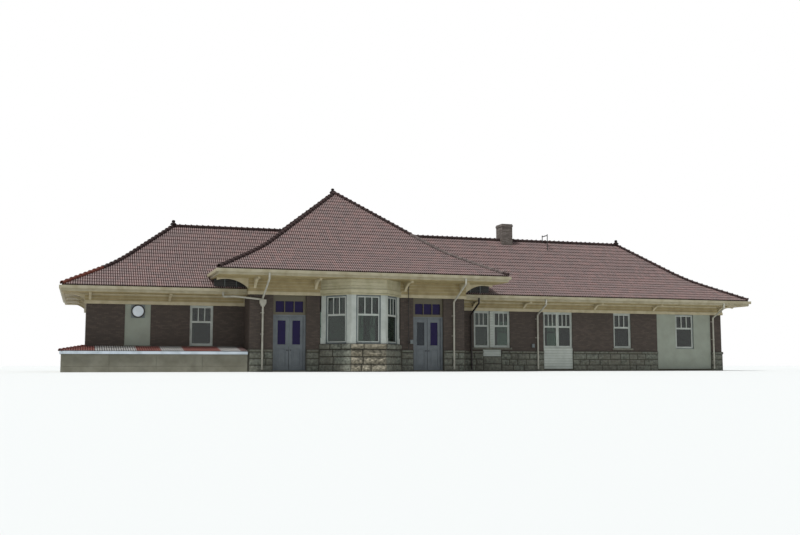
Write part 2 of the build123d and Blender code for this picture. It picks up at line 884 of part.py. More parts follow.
# Bay window: posts, sashes and crown
with BuildPart() as bay_posts:
    post_height = bay_head - bay_sill_top
    extrude(bay_plan(bay_sill_top, -bay_set_back), amount=post_height)
    extrude(
        bay_plan(bay_sill_top, -bay_set_back - bay_wall), amount=post_height,
        mode=Mode.SUBTRACT,
    )
    for facet in bay_facets(0):
        with BuildSketch(facet) as light:
            panel(0, bay_window_width, bay_sill_top, bay_head)
        extrude(light.sketch, amount=-bay_wall - 2 * bay_set_back, mode=Mode.SUBTRACT)
    clear_bay_back()
save(bay_posts, "bay_posts")

with BuildPart() as bay_window_frames:
    for facet in bay_facets(bay_set_back - window_recess / 2):
        window_frame(facet, 0, bay_window_width, bay_sill_top, bay_head)
save(bay_window_frames, "bay_window_frames")

with BuildPart() as bay_window_glass:
    for facet in bay_facets(bay_set_back - window_recess / 2):
        window_glass(facet, 0, bay_window_width, bay_sill_top, bay_head)
save(bay_window_glass, "bay_window_glass")

with BuildPart() as bay_crown:
    extrude(bay_plan(bay_head, 0), amount=pavilion_soffit - bay_head)
    extrude(
        bay_plan(bay_head + bay_crown_height / 3, bay_crown_lap),
        amount=bay_crown_height * 2 / 3,
    )
    extrude(
        bay_plan(bay_head, -bay_set_back - bay_wall), amount=pavilion_soffit - bay_head,
        mode=Mode.SUBTRACT,
    )
    clear_bay_back()
    add(pavilion_frieze.part, mode=Mode.SUBTRACT)
save(bay_crown, "bay_crown")

# Entrance doors: frames, transom lights and two leaves each
leaf_foot = floor_top + leaf_floor_gap
leaf_top = leaf_foot + leaf_height
doorway_head = leaf_top + leaf_gap
transom_foot = doorway_head + transom_bar
clear_width = door_width - 2 * door_frame_face
leaf_width = clear_width / 2 - 2 * leaf_gap
frame_front = pavilion_front_plane.offset(-door_recess)
frame_back_y = -pavilion_front + door_recess + door_frame_depth
leaf_front = pavilion_front_plane.offset(-door_recess - door_frame_depth + leaf_thickness)
leaf_glass_front = leaf_front.offset(-(leaf_thickness - glass_thickness) / 2)
stop_depth = door_frame_depth - leaf_thickness - leaf_gap
pin_y = frame_back_y + hinge_radius

with BuildPart() as door_frames:
    for side in (-1, 1):
        centre = side * door_offset
        with BuildSketch(frame_front) as casing:
            panel(centre, door_width, floor_top, door_head)
            panel(centre, clear_width, floor_top, doorway_head, mode=Mode.SUBTRACT)
            panel(centre, clear_width, transom_foot, transom_head, mode=Mode.SUBTRACT)
        extrude(casing.sketch, amount=-door_frame_depth)
        with BuildSketch(frame_front) as stops:
            panel(centre, clear_width, floor_top, doorway_head)
            panel(
                centre, clear_width - 2 * door_stop, floor_top, doorway_head - 2 * door_stop,
                mode=Mode.SUBTRACT,
            )
            panel(centre, clear_width, transom_foot, transom_head)
            pane = (clear_width - 4 * transom_muntin) / 3
            for step in (-1, 0, 1):
                x = centre + step * (pane + transom_muntin)
                panel(
                    x, pane, transom_foot + transom_muntin, transom_head - transom_muntin,
                    mode=Mode.SUBTRACT,
                )
        extrude(stops.sketch, amount=-stop_depth)
        for hand in (-1, 1):
            pin_x = pavilion_x + centre + hand * (clear_width / 2 - leaf_gap / 2)
            flap = sorted((pin_x, pin_x + hand * hinge_flap))
            for height in hinge_heights:
                with Locations((pin_x, pin_y, height - hinge_length / 2)):
                    Cylinder(hinge_radius, hinge_length)
                block(
                    *flap, frame_back_y, frame_back_y + hinge_plate,
                    height - hinge_length, height,
                )
save(door_frames, "door_frames")

with BuildPart() as transom_glass:
    for side in (-1, 1):
        with BuildSketch(frame_front.offset(-stop_depth)) as sheet:
            panel(side * door_offset, clear_width, transom_foot, transom_head)
        extrude(sheet.sketch, amount=-glass_thickness)
save(transom_glass, "transom_glass")

for door_name, side in (("left_door", -1), ("right_door", 1)):
    for leaf_name, hand in (("left_leaf", -1), ("right_leaf", 1)):
        hinge_edge = side * door_offset + hand * (clear_width / 2 - leaf_gap)
        centre = hinge_edge - hand * leaf_width / 2
        pin_x = pavilion_x + hinge_edge + hand * leaf_gap / 2
        with BuildPart() as leaf:
            with BuildSketch(leaf_front) as board:
                panel(centre, leaf_width, leaf_foot, leaf_top)
                panel(
                    centre, leaf_width - 2 * leaf_stile, leaf_glass_sill, leaf_glass_head,
                    mode=Mode.SUBTRACT,
                )
            extrude(board.sketch, amount=-leaf_thickness)
            with BuildSketch(leaf_front) as sunk:
                panel(
                    centre, leaf_width - 2 * leaf_stile, leaf_foot + lock_rail,
                    leaf_glass_sill - lock_rail,
                )
            extrude(sunk.sketch, amount=-panel_depth, mode=Mode.SUBTRACT)
            flap = sorted((pin_x, pin_x - hand * hinge_flap))
            for height in hinge_heights:
                knuckle_foot = height + hinge_play
                with Locations((pin_x, pin_y, knuckle_foot + hinge_length / 2)):
                    Cylinder(hinge_radius, hinge_length)
                block(
                    *flap, frame_back_y, frame_back_y + hinge_plate,
                    knuckle_foot, knuckle_foot + hinge_length,
                )
        save(leaf, f"{door_name}_{leaf_name}")
        with BuildPart() as leaf_glass:
            with BuildSketch(leaf_glass_front) as sheet:
                panel(centre, leaf_width - 2 * leaf_stile, leaf_glass_sill, leaf_glass_head)
            extrude(sheet.sketch, amount=-glass_thickness)
        save(leaf_glass, f"{door_name}_{leaf_name}_glass")

# Concrete ledge with a tiled pent roof along the left wing's foot
ledge_x = -half_length - ledge_end_lap
ledge_y = -half_width - ledge_depth


def ledge_mass(lift):
    """Solid below the ledge's pent roof, or below a surface lowered from it."""
    outer = (ledge_x - ledge_lap, ledge_y - ledge_lap)
    low_z = ledge_front_height + lift
    with BuildPart() as mass:
        with BuildSketch(Plane.XY.offset(low_z)) as low:
            Polygon(
                outer, (0, outer[1]), (0, half_width), (outer[0], half_width), align=None
            )
        with BuildSketch(Plane.XY.offset(ledge_back_height + lift)) as high:
            Polygon(
                (-half_length, -half_width), (0, -half_width), (0, half_width),
                (-half_length, half_width), align=None,
            )
        loft(ruled=True)
        extrude(low.sketch, amount=-low_z)
    return mass.part


ledge_outside = ledge_mass(0)
ledge_inside = ledge_mass(-ledge_roof_depth)
with BuildPart() as ledge_roof:
    add(ledge_outside)
    add(ledge_inside, mode=Mode.SUBTRACT)
    block(-half_length, 0, -half_width, half_width, 0, tall, mode=Mode.SUBTRACT)
    block(pavilion_left - belt_proud, 0, -tall, 0, 0, tall, mode=Mode.SUBTRACT)
    add([left_front_wall.part, end_walls.part], mode=Mode.SUBTRACT)
save(ledge_roof, "ledge_roof")

with BuildPart() as ledge_walls:
    block(ledge_x, pavilion_left, ledge_y, half_width, 0, ledge_back_height)
    block(
        ledge_x + ledge_wall, 0, ledge_y + ledge_wall, half_width - ledge_wall,
        0, ledge_back_height, mode=Mode.SUBTRACT,
    )
    block(
        -half_length - belt_proud, 0, -half_width - belt_proud, half_width,
        0, tall, mode=Mode.SUBTRACT,
    )
    block(
        pavilion_left - belt_proud, 0, -tall, 0, 0, tall, mode=Mode.SUBTRACT,
    )
    add(ledge_inside, mode=Mode.INTERSECT)
save(ledge_walls, "ledge_walls")

# Downspouts, and a hopper that takes in the left wing's gutter by a branch
wall_gap = pipe_radius + pipe_stand_off
outlet_gap = fascia_thickness + pipe_radius + trough_wall
main_outlet = (-main_deck_y - outlet_gap, main_soffit + fascia_height - trough_height)
pavilion_wall_y = -pavilion_front - wall_gap
pavilion_pipe_x = pavilion_left + pipe_inset
with BuildPart() as downspouts:
    for x in (pavilion_pipe_x, pavilion_right - pipe_inset):
        outlet_y = -pavilion_deck_y - outlet_gap
        outlet_z = pavilion_soffit + fascia_height - trough_height
        pipe(
            [
                (x, outlet_y, outlet_z), (x, outlet_y, pavilion_soffit - pipe_drop),
                (x, pavilion_wall_y, pavilion_brick_top - pipe_drop),
                (x, pavilion_wall_y, pipe_foot),
            ],
            pipe_radius,
        )
    for x in (*wing_pipe_places, half_length - pipe_inset):
        wall_y = -half_width - wall_gap
        pipe(
            [
                (x, *main_outlet), (x, main_outlet[0], main_soffit - pipe_drop),
                (x, wall_y, brick_top - pipe_drop), (x, wall_y, pipe_foot),
            ],
            pipe_radius,
        )
    pipe(
        [
            (branch_start_x, *main_outlet),
            (branch_start_x, main_outlet[0], branch_turn_z),
            (branch_turn_x, pavilion_wall_y, branch_turn_z),
            (pavilion_pipe_x, pavilion_wall_y, branch_end_z),
        ],
        pipe_radius,
    )
    with BuildSketch(Plane.XZ.offset(-pavilion_wall_y - hopper_depth / 2)) as hopper:
        with Locations((pavilion_pipe_x, hopper_z)):
            Polygon(
                (-hopper_foot_width / 2, -hopper_height / 2),
                (hopper_foot_width / 2, -hopper_height / 2),
                (hopper_width / 2, 0), (hopper_width / 2, hopper_height / 2),
                (-hopper_width / 2, hopper_height / 2), (-hopper_width / 2, 0),
            )
    extrude(hopper.sketch, amount=hopper_depth)
save(downspouts, "downspouts")
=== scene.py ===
"""Dresses the railway station building: tiles, masonry, boards, windows, doors and pipes.

Lengths are in metres in the building's own frame: +X along the facade to the right, the
facade faces -Y, +Z up, and the origin is on the ground under the middle of the building.
"""
import json
import logging
import math
import random
from collections.abc import Callable
from dataclasses import dataclass, field
from enum import Enum

import bmesh
import bpy
from mathutils import Matrix, Vector
from mathutils.noise import noise as smooth_noise


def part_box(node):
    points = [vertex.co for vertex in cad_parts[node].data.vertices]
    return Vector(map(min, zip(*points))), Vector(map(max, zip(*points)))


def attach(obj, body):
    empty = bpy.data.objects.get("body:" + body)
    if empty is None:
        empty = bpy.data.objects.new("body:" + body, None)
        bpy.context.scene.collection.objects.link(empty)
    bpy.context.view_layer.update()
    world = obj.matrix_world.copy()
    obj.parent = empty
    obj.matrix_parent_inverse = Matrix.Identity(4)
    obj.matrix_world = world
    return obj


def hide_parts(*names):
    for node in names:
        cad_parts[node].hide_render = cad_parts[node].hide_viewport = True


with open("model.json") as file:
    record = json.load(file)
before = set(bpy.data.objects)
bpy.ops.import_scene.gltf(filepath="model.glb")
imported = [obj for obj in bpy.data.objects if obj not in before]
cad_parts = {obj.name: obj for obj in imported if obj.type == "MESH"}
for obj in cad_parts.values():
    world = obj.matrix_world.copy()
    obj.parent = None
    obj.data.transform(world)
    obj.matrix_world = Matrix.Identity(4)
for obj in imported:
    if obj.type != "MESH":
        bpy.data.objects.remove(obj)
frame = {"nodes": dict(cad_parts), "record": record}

BMesh = bmesh.types.BMesh
Tree = bpy.types.NodeTree
Span = tuple[float, float]

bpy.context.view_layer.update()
LOG = logging.getLogger("station")
MM = 0.001
BUILDING = "building"
UP = Vector((0, 0, 1))
SEED = 7
SHADES = 1000

PHOTO_WIDTH = 800

# Points nearer than this are one, and a distance may pass its end by the smaller slack
WELD = 1e-5
SLACK = 1e-6

# Sockets of a Mix node that blends colours
FACTOR, FIRST, SECOND = 0, 6, 7


class Slot(Enum):
    """The record's material slots."""

    STONE = "stone"
    CONCRETE = "concrete"
    TILE = "roof_tile"
    CAP = "ridge_tile"
    CREAM = "cream_woodwork"
    DOOR = "door_paint"
    WHITE = "white_woodwork"
    METAL = "painted_metal"
    INFILL = "cream_boarding"
    PLATE = "sign_paint"


class Facing(Enum):
    """The four sides of the building, with each side's turn from the front in degrees."""

    FRONT = 0
    RIGHT = 90
    BACK = 180
    LEFT = 270


def linear(hex_colour: str) -> tuple[float, float, float, float]:
    """Turn an sRGB hex colour into linear RGBA.

    Args:
        hex_colour: Six hex digits after a hash sign.

    Returns:
        The linear red, green, blue and an alpha of 1.
    """
    channels = [int(hex_colour[i:i + 2], 16) / 255 for i in (1, 3, 5)]
    curved = [c / 12.92 if c <= 0.04045 else ((c + 0.055) / 1.055) ** 2.4 for c in channels]
    return (*curved, 1.0)


def add_node(
    tree: Tree, kind: str, settings: dict | None = None, links: dict | None = None
) -> bpy.types.Node:
    """Add a shader node with its settings and its incoming links.

    Args:
        tree: The material's or world's node tree.
        kind: The node's class name, without its common prefix.
        settings: Socket values by name or index, and properties by a name with a dot.
        links: What feeds each input: an output socket, or a node for its first live output.

    Returns:
        The new node.
    """
    node = tree.nodes.new(f"ShaderNode{kind}")
    for name, value in (settings or {}).items():
        if str(name).startswith("."):
            setattr(node, name[1:], value)
        else:
            node.inputs[name].default_value = value
    for name, source in (links or {}).items():
        if isinstance(source, bpy.types.Node):
            source = next(socket for socket in source.outputs if socket.enabled)
        tree.links.new(source, node.inputs[name])
    return node


def blank_material(name: str) -> tuple[bpy.types.Material, Tree]:
    """Make a material with an empty node tree.

    Args:
        name: The finish's plain name.

    Returns:
        The material and its tree.
    """
    material = bpy.data.materials.new(name)
    material.use_nodes = True
    material.node_tree.nodes.clear()
    return material, material.node_tree


def close_material(
    tree: Tree,
    colour: bpy.types.Node | tuple,
    relief: bpy.types.Node | None,
    depth: float,
    settings: dict,
) -> None:
    """End a tree in a Principled surface with a bump.

    Args:
        tree: The material's tree.
        colour: The node that gives the base colour, or a plain colour.
        relief: The node that gives the height, or None for a smooth surface.
        depth: The relief's real depth in metres.
        settings: Values for the surface's own sockets.
    """
    links = {}
    if isinstance(colour, tuple):
        settings = {**settings, "Base Color": colour}
    else:
        links["Base Color"] = colour
    if relief is not None:
        links["Normal"] = add_node(
            tree, "Bump", {"Strength": 1.0, "Distance": depth}, {"Height": relief}
        )
    surface = add_node(tree, "BsdfPrincipled", settings, links)
    add_node(tree, "OutputMaterial", links={"Surface": surface})


@dataclass(frozen=True)
class Layer:
    """A tone that shows where a pattern is strong, such as dust, damp, lichen or soot."""

    tone: str
    start: float = 0.0
    full: float = 1.0
    share: float = 1.0

    def over(
        self, tree: Tree, colour: bpy.types.Node | bpy.types.NodeSocket | str,
        pattern: bpy.types.Node | bpy.types.NodeSocket,
    ) -> bpy.types.Node:
        """Lay the tone over a colour.

        Args:
            tree: The material's tree.
            colour: What gives the colour below, or a plain hex colour.
            pattern: What gives the pattern's strength, from 0 to 1.

        Returns:
            The node that gives the mixed colour.
        """
        mask = add_node(
            tree, "MapRange",
            {"From Min": self.start, "From Max": self.full, "To Max": self.share},
            {"Value": pattern},
        )
        settings, links = {".data_type": "RGBA", SECOND: linear(self.tone)}, {FACTOR: mask}
        if isinstance(colour, str):
            settings[FIRST] = linear(colour)
        else:
            links[FIRST] = colour
        return add_node(tree, "Mix", settings, links)


@dataclass(frozen=True)
class ClayTile:
    """Fired clay tile: pressed, matt and porous, each burnt to its own shade.

    The eye sees lichen in patches where rain dries last. The rib crowns carry a painted
    highlight, partly dust, and the butts, the laps and the channels between ribs carry painted
    shade, so that the courses show from far off.
    """

    name: str
    clay: str
    burnt: str
    # Lichen's tone, also laid on the rib crowns as a painted highlight
    lichen: str
    lichen_share: float = 0.5
    # Share of that tone on the rib crowns: a painted highlight, partly dust
    rib_highlight_and_dust: float = 0.45
    # Tone of the painted shade on the butts, the laps and the channels
    painted_shade_tone: str = "#1d1413"
    ribs_per_tile: float = 2.0
    rib_crown: float = 0.62
    patch_size: float = 1.7
    lichen_size: float = 45 * MM
    grit_size: float = 12 * MM
    grit_depth: float = 1.5 * MM
    # Where a layer starts and where it is full, along its own pattern
    patch_edges: Span = (0.38, 0.68)
    patch_share: float = 0.5
    # Edges of the painted highlight across a rib, from its side to its crown
    crown_edges: Span = (0.3, 0.1)
    lichen_edges: Span = (0.42, 0.62)
    # The same for the painted shade under the laps, on the butts and in the
    # channels, and then its least and most
    lap_painted_shade: tuple[float, ...] = (0.7, 0.84, 0.66, 0.85)
    butt_painted_shade: tuple[float, ...] = (0.5, 0.44, 0.0, 0.95)
    channel_painted_shade: tuple[float, ...] = (0.2, 0.4, 0.25, 1.0)

    def material(self) -> bpy.types.Material:
        """Build the finish; its UV map counts tiles across and courses up."""
        material, tree = blank_material(self.name)
        uv = add_node(tree, "UVMap")
        place = add_node(tree, "TexCoord").outputs["Object"]
        tile = add_node(tree, "VectorMath", {".operation": "FLOOR"}, {0: uv})
        shade = add_node(tree, "TexWhiteNoise", {".noise_dimensions": "2D"}, {"Vector": tile})
        patches, lichen, grit = (
            add_node(tree, "TexNoise", {"Scale": 1 / size, "Detail": detail}, {"Vector": place})
            for size, detail in (
                (self.patch_size, 4.0), (self.lichen_size, 6.0), (self.grit_size, 2.0)
            )
        )
        axes = add_node(tree, "SeparateXYZ", links={"Vector": uv}).outputs
        up = add_node(tree, "Math", {".operation": "FRACT"}, {0: axes["Y"]})
        off_rib = axes["X"]
        for operation, value in (
            ("MULTIPLY", self.ribs_per_tile), ("FRACT", 0.0), ("SUBTRACT", self.rib_crown),
            ("ABSOLUTE", 0.0),
        ):
            off_rib = add_node(tree, "Math", {".operation": operation, 1: value}, {0: off_rib})
        # Painted shade: darker under each lap, on each butt and in the channels between ribs
        lap, butt, channel = (
            add_node(
                tree, "MapRange",
                {"From Min": start, "From Max": full, "To Min": least, "To Max": most},
                {"Value": measure},
            )
            for measure, (start, full, least, most) in (
                (up, self.lap_painted_shade), (up, self.butt_painted_shade), (off_rib, self.channel_painted_shade)
            )
        )
        painted_shade_mask = add_node(tree, "Math", {".operation": "MAXIMUM"}, {0: butt, 1: lap})
        painted_shade_mask = add_node(tree, "Math", {".operation": "MULTIPLY"}, {0: painted_shade_mask, 1: channel})
        body = self.clay
        for layer, pattern in (
            (Layer(self.burnt), shade),
            (Layer(self.burnt, *self.patch_edges, self.patch_share), patches),
            # Painted highlight on the rib crowns, partly dust
            (Layer(self.lichen, *self.crown_edges, self.rib_highlight_and_dust), off_rib),
            (Layer(self.lichen, *self.lichen_edges, self.lichen_share), lichen),
            # Painted shade on the butts, the laps and the channels
            (Layer(self.painted_shade_tone), painted_shade_mask),
        ):
            body = layer.over(tree, body, pattern)
        close_material(
            tree, body, grit, self.grit_depth,
            {"Roughness": 0.85, "Specular IOR Level": 0.3, "IOR": 1.5},
        )
        return material


@dataclass(frozen=True)
class PressedBrick:
    """Dark pressed brick with thin flush joints, over the mortar bed of the stone foot.

    Machine-pressed and hard-fired, so the faces are smooth and even, and only the courses
    and a few lighter bricks catch the eye.
    """

    name: str
    brick: str
    pale_brick: str
    joint: str
    stone_bed: str
    stone_top: float = 1.055
    brick_length: float = 0.213
    brick_course: float = 0.067
    joint_width: float = 0.009
    joint_softness: float = 0.3
    pale_bias: float = -0.3
    relief_depth: float = 4 * MM
    cloud_size: float = 0.9
    dust_edges: Span = (0.3, 0.75)
    dust_share: float = 0.3
    end_wall_lean: float = 0.8

    def material(self) -> bpy.types.Material:
        """Build the finish, laid along whichever way the wall runs."""
        material, tree = blank_material(self.name)
        place = add_node(tree, "TexCoord").outputs["Object"]
        normal = add_node(tree, "NewGeometry").outputs["True Normal"]
        axes, lean = (
            add_node(tree, "SeparateXYZ", links={"Vector": vector}).outputs
            for vector in (place, normal)
        )
        sideways = add_node(tree, "Math", {".operation": "ABSOLUTE"}, {0: lean["X"]})
        end_wall = add_node(
            tree, "Math", {".operation": "GREATER_THAN", 1: self.end_wall_lean}, {0: sideways}
        )
        below = add_node(
            tree, "Math", {".operation": "LESS_THAN", 1: self.stone_top}, {0: axes["Z"]}
        )
        across = add_node(
            tree, "Mix", {".data_type": "FLOAT"}, {0: end_wall, 2: axes["X"], 3: axes["Y"]}
        )
        flat = add_node(tree, "CombineXYZ", links={"X": across, "Y": axes["Z"]})
        bond = add_node(
            tree, "TexBrick",
            {
                "Scale": 1.0, "Mortar Size": self.joint_width / 2,
                "Mortar Smooth": self.joint_softness, "Brick Width": self.brick_length,
                "Row Height": self.brick_course, "Color1": linear(self.brick),
                "Color2": linear(self.pale_brick), "Mortar": linear(self.joint),
                "Bias": self.pale_bias,
            },
            {"Vector": flat},
        ).outputs
        cloud = add_node(
            tree, "TexNoise", {"Scale": 1 / self.cloud_size, "Detail": 5.0}, {"Vector": place}
        )
        dust = Layer(self.joint, *self.dust_edges, self.dust_share)
        wall = dust.over(tree, bond["Color"], cloud)
        relief = add_node(tree, "Math", {".operation": "MULTIPLY", 1: -1.0}, {0: bond["Fac"]})
        close_material(
            tree, Layer(self.stone_bed).over(tree, wall, below), relief, self.relief_depth,
            {"Roughness": 0.8, "Specular IOR Level": 0.35, "IOR": 1.5},
        )
        return material


@dataclass(frozen=True)
class QuarriedStone:
    """Sandstone split at the quarry, or cast concrete and render where the lumps are small.

    A matt, gritty face with clouds of colour; each block has its own shade by its UV map.
    """

    name: str
    light: str
    dark: str
    stain: str
    lump: float = 0.12
    grit: float = 30 * MM
    depth: float = 8 * MM
    stain_share: float = 0.6
    cloud_size: float = 0.55
    lump_edges: Span = (0.34, 0.66)
    damp_edges: Span = (0.5, 0.74)

    def material(self) -> bpy.types.Material:
        """Build the finish."""
        material, tree = blank_material(self.name)
        place = add_node(tree, "TexCoord").outputs["Object"]
        block = add_node(
            tree, "TexWhiteNoise", {".noise_dimensions": "2D"}, {"Vector": add_node(tree, "UVMap")}
        )
        lumps, cloud, grit = (
            add_node(tree, "TexNoise", {"Scale": 1 / size, "Detail": detail}, {"Vector": place})
            for size, detail in ((self.lump, 8.0), (self.cloud_size, 5.0), (self.grit, 8.0))
        )
        colour = self.dark
        for layer, pattern in (
            (Layer(self.light, *self.lump_edges), lumps),
            (Layer(self.stain, share=self.stain_share), block),
            (Layer(self.stain, *self.damp_edges, self.stain_share), cloud),
        ):
            colour = layer.over(tree, colour, pattern)
        close_material(
            tree, colour, grit, self.depth,
            {"Roughness": 0.9, "Specular IOR Level": 0.25, "IOR": 1.5},
        )
        return material


@dataclass(frozen=True)
class OilPaint:
    """Oil paint brushed on planed timber or sheet metal.

    An even tone with a dull sheen, dusty in patches, and faint streaks of the brush. A
    second tone covers the stretch between two places along one axis.
    """

    name: str
    tone: str
    dusty: str
    roughness: float = 0.55
    second_tone: str | None = None
    second_axis: str = "X"
    second_from: float = 0.0
    second_to: float = 0.0
    brush: float = 4 * MM
    brush_depth: float = 0.4 * MM
    brush_stretch: tuple[float, float, float] = (0.12, 0.12, 1.0)
    dust_size: float = 0.35
    dust_edges: Span = (0.4, 0.7)

    def material(self) -> bpy.types.Material:
        """Build the paint's finish."""
        material, tree = blank_material(self.name)
        place = add_node(tree, "TexCoord").outputs["Object"]
        cloud = add_node(
            tree, "TexNoise", {"Scale": 1 / self.dust_size, "Detail": 6.0}, {"Vector": place}
        )
        colour = Layer(self.dusty, *self.dust_edges).over(tree, self.tone, cloud)
        if self.second_tone:
            axes = add_node(tree, "SeparateXYZ", links={"Vector": place}).outputs
            after, before = (
                add_node(
                    tree, "Math", {".operation": test, 1: limit}, {0: axes[self.second_axis]}
                )
                for test, limit in (
                    ("GREATER_THAN", self.second_from), ("LESS_THAN", self.second_to)
                )
            )
            inside = add_node(tree, "Math", {".operation": "MULTIPLY"}, {0: after, 1: before})
            colour = Layer(self.second_tone).over(tree, colour, inside)
        streak = add_node(tree, "Mapping", {"Scale": self.brush_stretch}, {"Vector": place})
        strokes = add_node(
            tree, "TexNoise", {"Scale": 1 / self.brush, "Detail": 3.0}, {"Vector": streak}
        )
        close_material(
            tree, colour, strokes, self.brush_depth,
            {"Roughness": self.roughness, "Specular IOR Level": 0.4, "IOR": 1.5},
        )
        return material


@dataclass(frozen=True)
class WindowGlass:
    """Old drawn window glass: smooth, a little wavy from the drawing, with its own tint.

    Under the eaves the eye sees hardly any sky in it. Its reflection is set far below real
    glass's 0.5, because the white backdrop would wash the panes out.
    """

    name: str
    tint: str
    clear: float
    reflection: float = 0.02
    wave: float = 0.25
    wave_depth: float = 0.6 * MM

    def material(self) -> bpy.types.Material:
        """Build the glass."""
        material, tree = blank_material(self.name)
        place = add_node(tree, "TexCoord").outputs["Object"]
        waves = add_node(
            tree, "TexNoise", {"Scale": 1 / self.wave, "Detail": 1.0}, {"Vector": place}
        )
        close_material(
            tree, linear(self.tint), waves, self.wave_depth,
            {
                "Roughness": 0.03, "IOR": 1.5, "Transmission Weight": self.clear,
                "Specular IOR Level": self.reflection,
            },
        )
        return material


@dataclass(frozen=True)
class CurtainCloth:
    """Thin cotton voile in a plain weave: matt and soft, its folds show as light and shade.

    The threads, 0.4 mm apart, are too fine to show and are drawn as slubs 3 mm apart.
    """

    name: str
    cloth: str
    shade: str
    cloud_size: float = 0.06
    slub: float = 3 * MM
    slub_depth: float = 0.3 * MM

    def material(self) -> bpy.types.Material:
        """Build the cloth's finish."""
        material, tree = blank_material(self.name)
        place = add_node(tree, "TexCoord").outputs["Object"]
        cloud, weave = (
            add_node(tree, "TexNoise", {"Scale": 1 / size, "Detail": detail}, {"Vector": place})
            for size, detail in ((self.cloud_size, 3.0), (self.slub, 2.0))
        )
        close_material(
            tree, Layer(self.cloth).over(tree, self.shade, cloud), weave, self.slub_depth,
            {"Roughness": 0.9, "Sheen Weight": 0.2, "Specular IOR Level": 0.1, "IOR": 1.5},
        )
        return material


FINISHES = {
    finish.name: finish.material()
    for finish in (
        ClayTile(
            "weathered_red_clay_tile", "#7c5049", "#47302d", "#b0a09c",
            lichen_share=0.26, rib_highlight_and_dust=0.66,
        ),
        ClayTile("whitewashed_clay_tile", "#c9c6c1", "#a9a5a0", "#dad8d4", lichen_share=0.3),
        ClayTile("fresh_red_clay_tile", "#a0584c", "#84453c", "#b08880", lichen_share=0.25),
        ClayTile("dark_clay_cap_tile", "#4e3532", "#35211f", "#6d5753", lichen_share=0.3),
        ClayTile("new_orange_clay_cap_tile", "#a8553e", "#8b4433", "#b7705a", lichen_share=0.2),
        ClayTile("mortared_clay_cap_tile", "#a5938b", "#6b544f", "#d3c8c1", lichen_share=0.75),
        PressedBrick("dark_pressed_brick", "#4a413b", "#5c5149", "#3b3630", "#45433a"),
        PressedBrick("rough_chimney_brick", "#675e57", "#8d847b", "#35312e", "#35312e"),
        # One stone in two copies: tan with painted sunlight for the bay's front, grey with painted
        # shade elsewhere
        QuarriedStone("lit_tan_quarry_faced_stone", "#aca592", "#57544a", "#6d6757"),
        QuarriedStone("shaded_grey_quarry_faced_stone", "#84877b", "#53574e", "#69655a"),
        QuarriedStone(
            "raked_lime_mortar", "#4a463c", "#39362f", "#2f2c26",
            lump=0.1, grit=10 * MM, depth=2 * MM,
        ),
        QuarriedStone(
            "cast_concrete", "#9b9989", "#7f7c6c", "#68665a",
            lump=0.5, grit=15 * MM, depth=2 * MM,
        ),
        QuarriedStone(
            "painted_stucco", "#9fa598", "#94998c", "#8a8e81",
            lump=0.6, grit=10 * MM, depth=1 * MM, stain_share=0.3,
        ),
        OilPaint("cream_oil_paint", "#bab092", "#a89d7e"),
        # A darker, browner copy of the cream paint: painted shade for the boards under the eaves
        OilPaint("shaded_cream_oil_paint", "#9f9068", "#8d7e58"),
        OilPaint("pale_cream_oil_paint", "#b3ad90", "#a29c7e"),
        OilPaint("gutter_paint", "#a79f86", "#948b6f"),
        OilPaint(
            "grey_blue_door_paint", "#6a7073", "#5e6467",
            second_tone="#5c5746", second_axis="Z", second_from=2.7, second_to=4.0,
        ),
        OilPaint("grey_casing_paint", "#6f7676", "#646b6b"),
        OilPaint("grey_white_sash_paint", "#b7bcb4", "#a7aca4"),
        OilPaint("pale_blue_edge_paint", "#ccd6de", "#b0bbc2"),
        OilPaint(
            "dull_pipe_paint", "#b2b0a2", "#9a978a", roughness=0.5,
            second_tone="#2c2623", second_from=1.7, second_to=2.05,
        ),
        OilPaint("dark_iron_paint", "#2b2a29", "#3a3836", roughness=0.45),
        OilPaint("white_enamel", "#e3ebf0", "#d2dbe1", roughness=0.3),
        WindowGlass("green_grey_window_glass", "#66776d", clear=0.98),
        WindowGlass("deep_purple_glass", "#190a48", clear=0.3),
        WindowGlass("dusty_grey_glass", "#3d444a", clear=0.4),
        CurtainCloth("cotton_voile", "#e2ebe5", "#aebdb4"),
    )
}


def put_in_scene(name: str, data: bpy.types.ID) -> bpy.types.Object:
    """Make an object and link it to the scene.

    Args:
        name: The object's name.
        data: Its mesh, light or camera.

    Returns:
        The new object.
    """
    thing = bpy.data.objects.new(name, data)
    bpy.context.scene.collection.objects.link(thing)
    return thing


def finish_piece(
    name: str, bm: BMesh, slot: Slot, finishes: list[str], body: str = BUILDING
) -> bpy.types.Object:
    """Turn a bmesh into a piece that rides on a body and has its finishes.

    Args:
        name: The piece's name.
        bm: The mesh, which is freed.
        slot: The record's slot for the piece; not used.
        finishes: The finishes' names, in the order of the mesh's material indices.
        body: The CAD body that carries the piece.

    Returns:
        The new object.
    """
    mesh = bpy.data.meshes.new(name)
    bm.to_mesh(mesh)
    LOG.info("%s: %d triangles", name, sum(len(face.verts) - 2 for face in bm.faces))
    bm.free()
    for finish in finishes:
        mesh.materials.append(FINISHES[finish])
    piece = put_in_scene(name, mesh)
    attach(piece, body)
    return piece


def mapped_mesh() -> BMesh:
    """Make an empty mesh with the UV map that the finishes read.

    Returns:
        The mesh.
    """
    bm = bmesh.new()
    bm.loops.layers.uv.new("UVMap")
    return bm


def smooth_piece(piece: bpy.types.Object) -> None:
    """Shade a turned or hung piece smooth."""
    for polygon in piece.data.polygons:
        polygon.use_smooth = True


def paint_node(node: str, finish: str) -> None:
    """Give a CAD node its finish.

    Args:
        node: The node's name.
        finish: The finish's name.
    """
    mesh = frame["nodes"][node].data
    mesh.materials.clear()
    mesh.materials.append(FINISHES[finish])


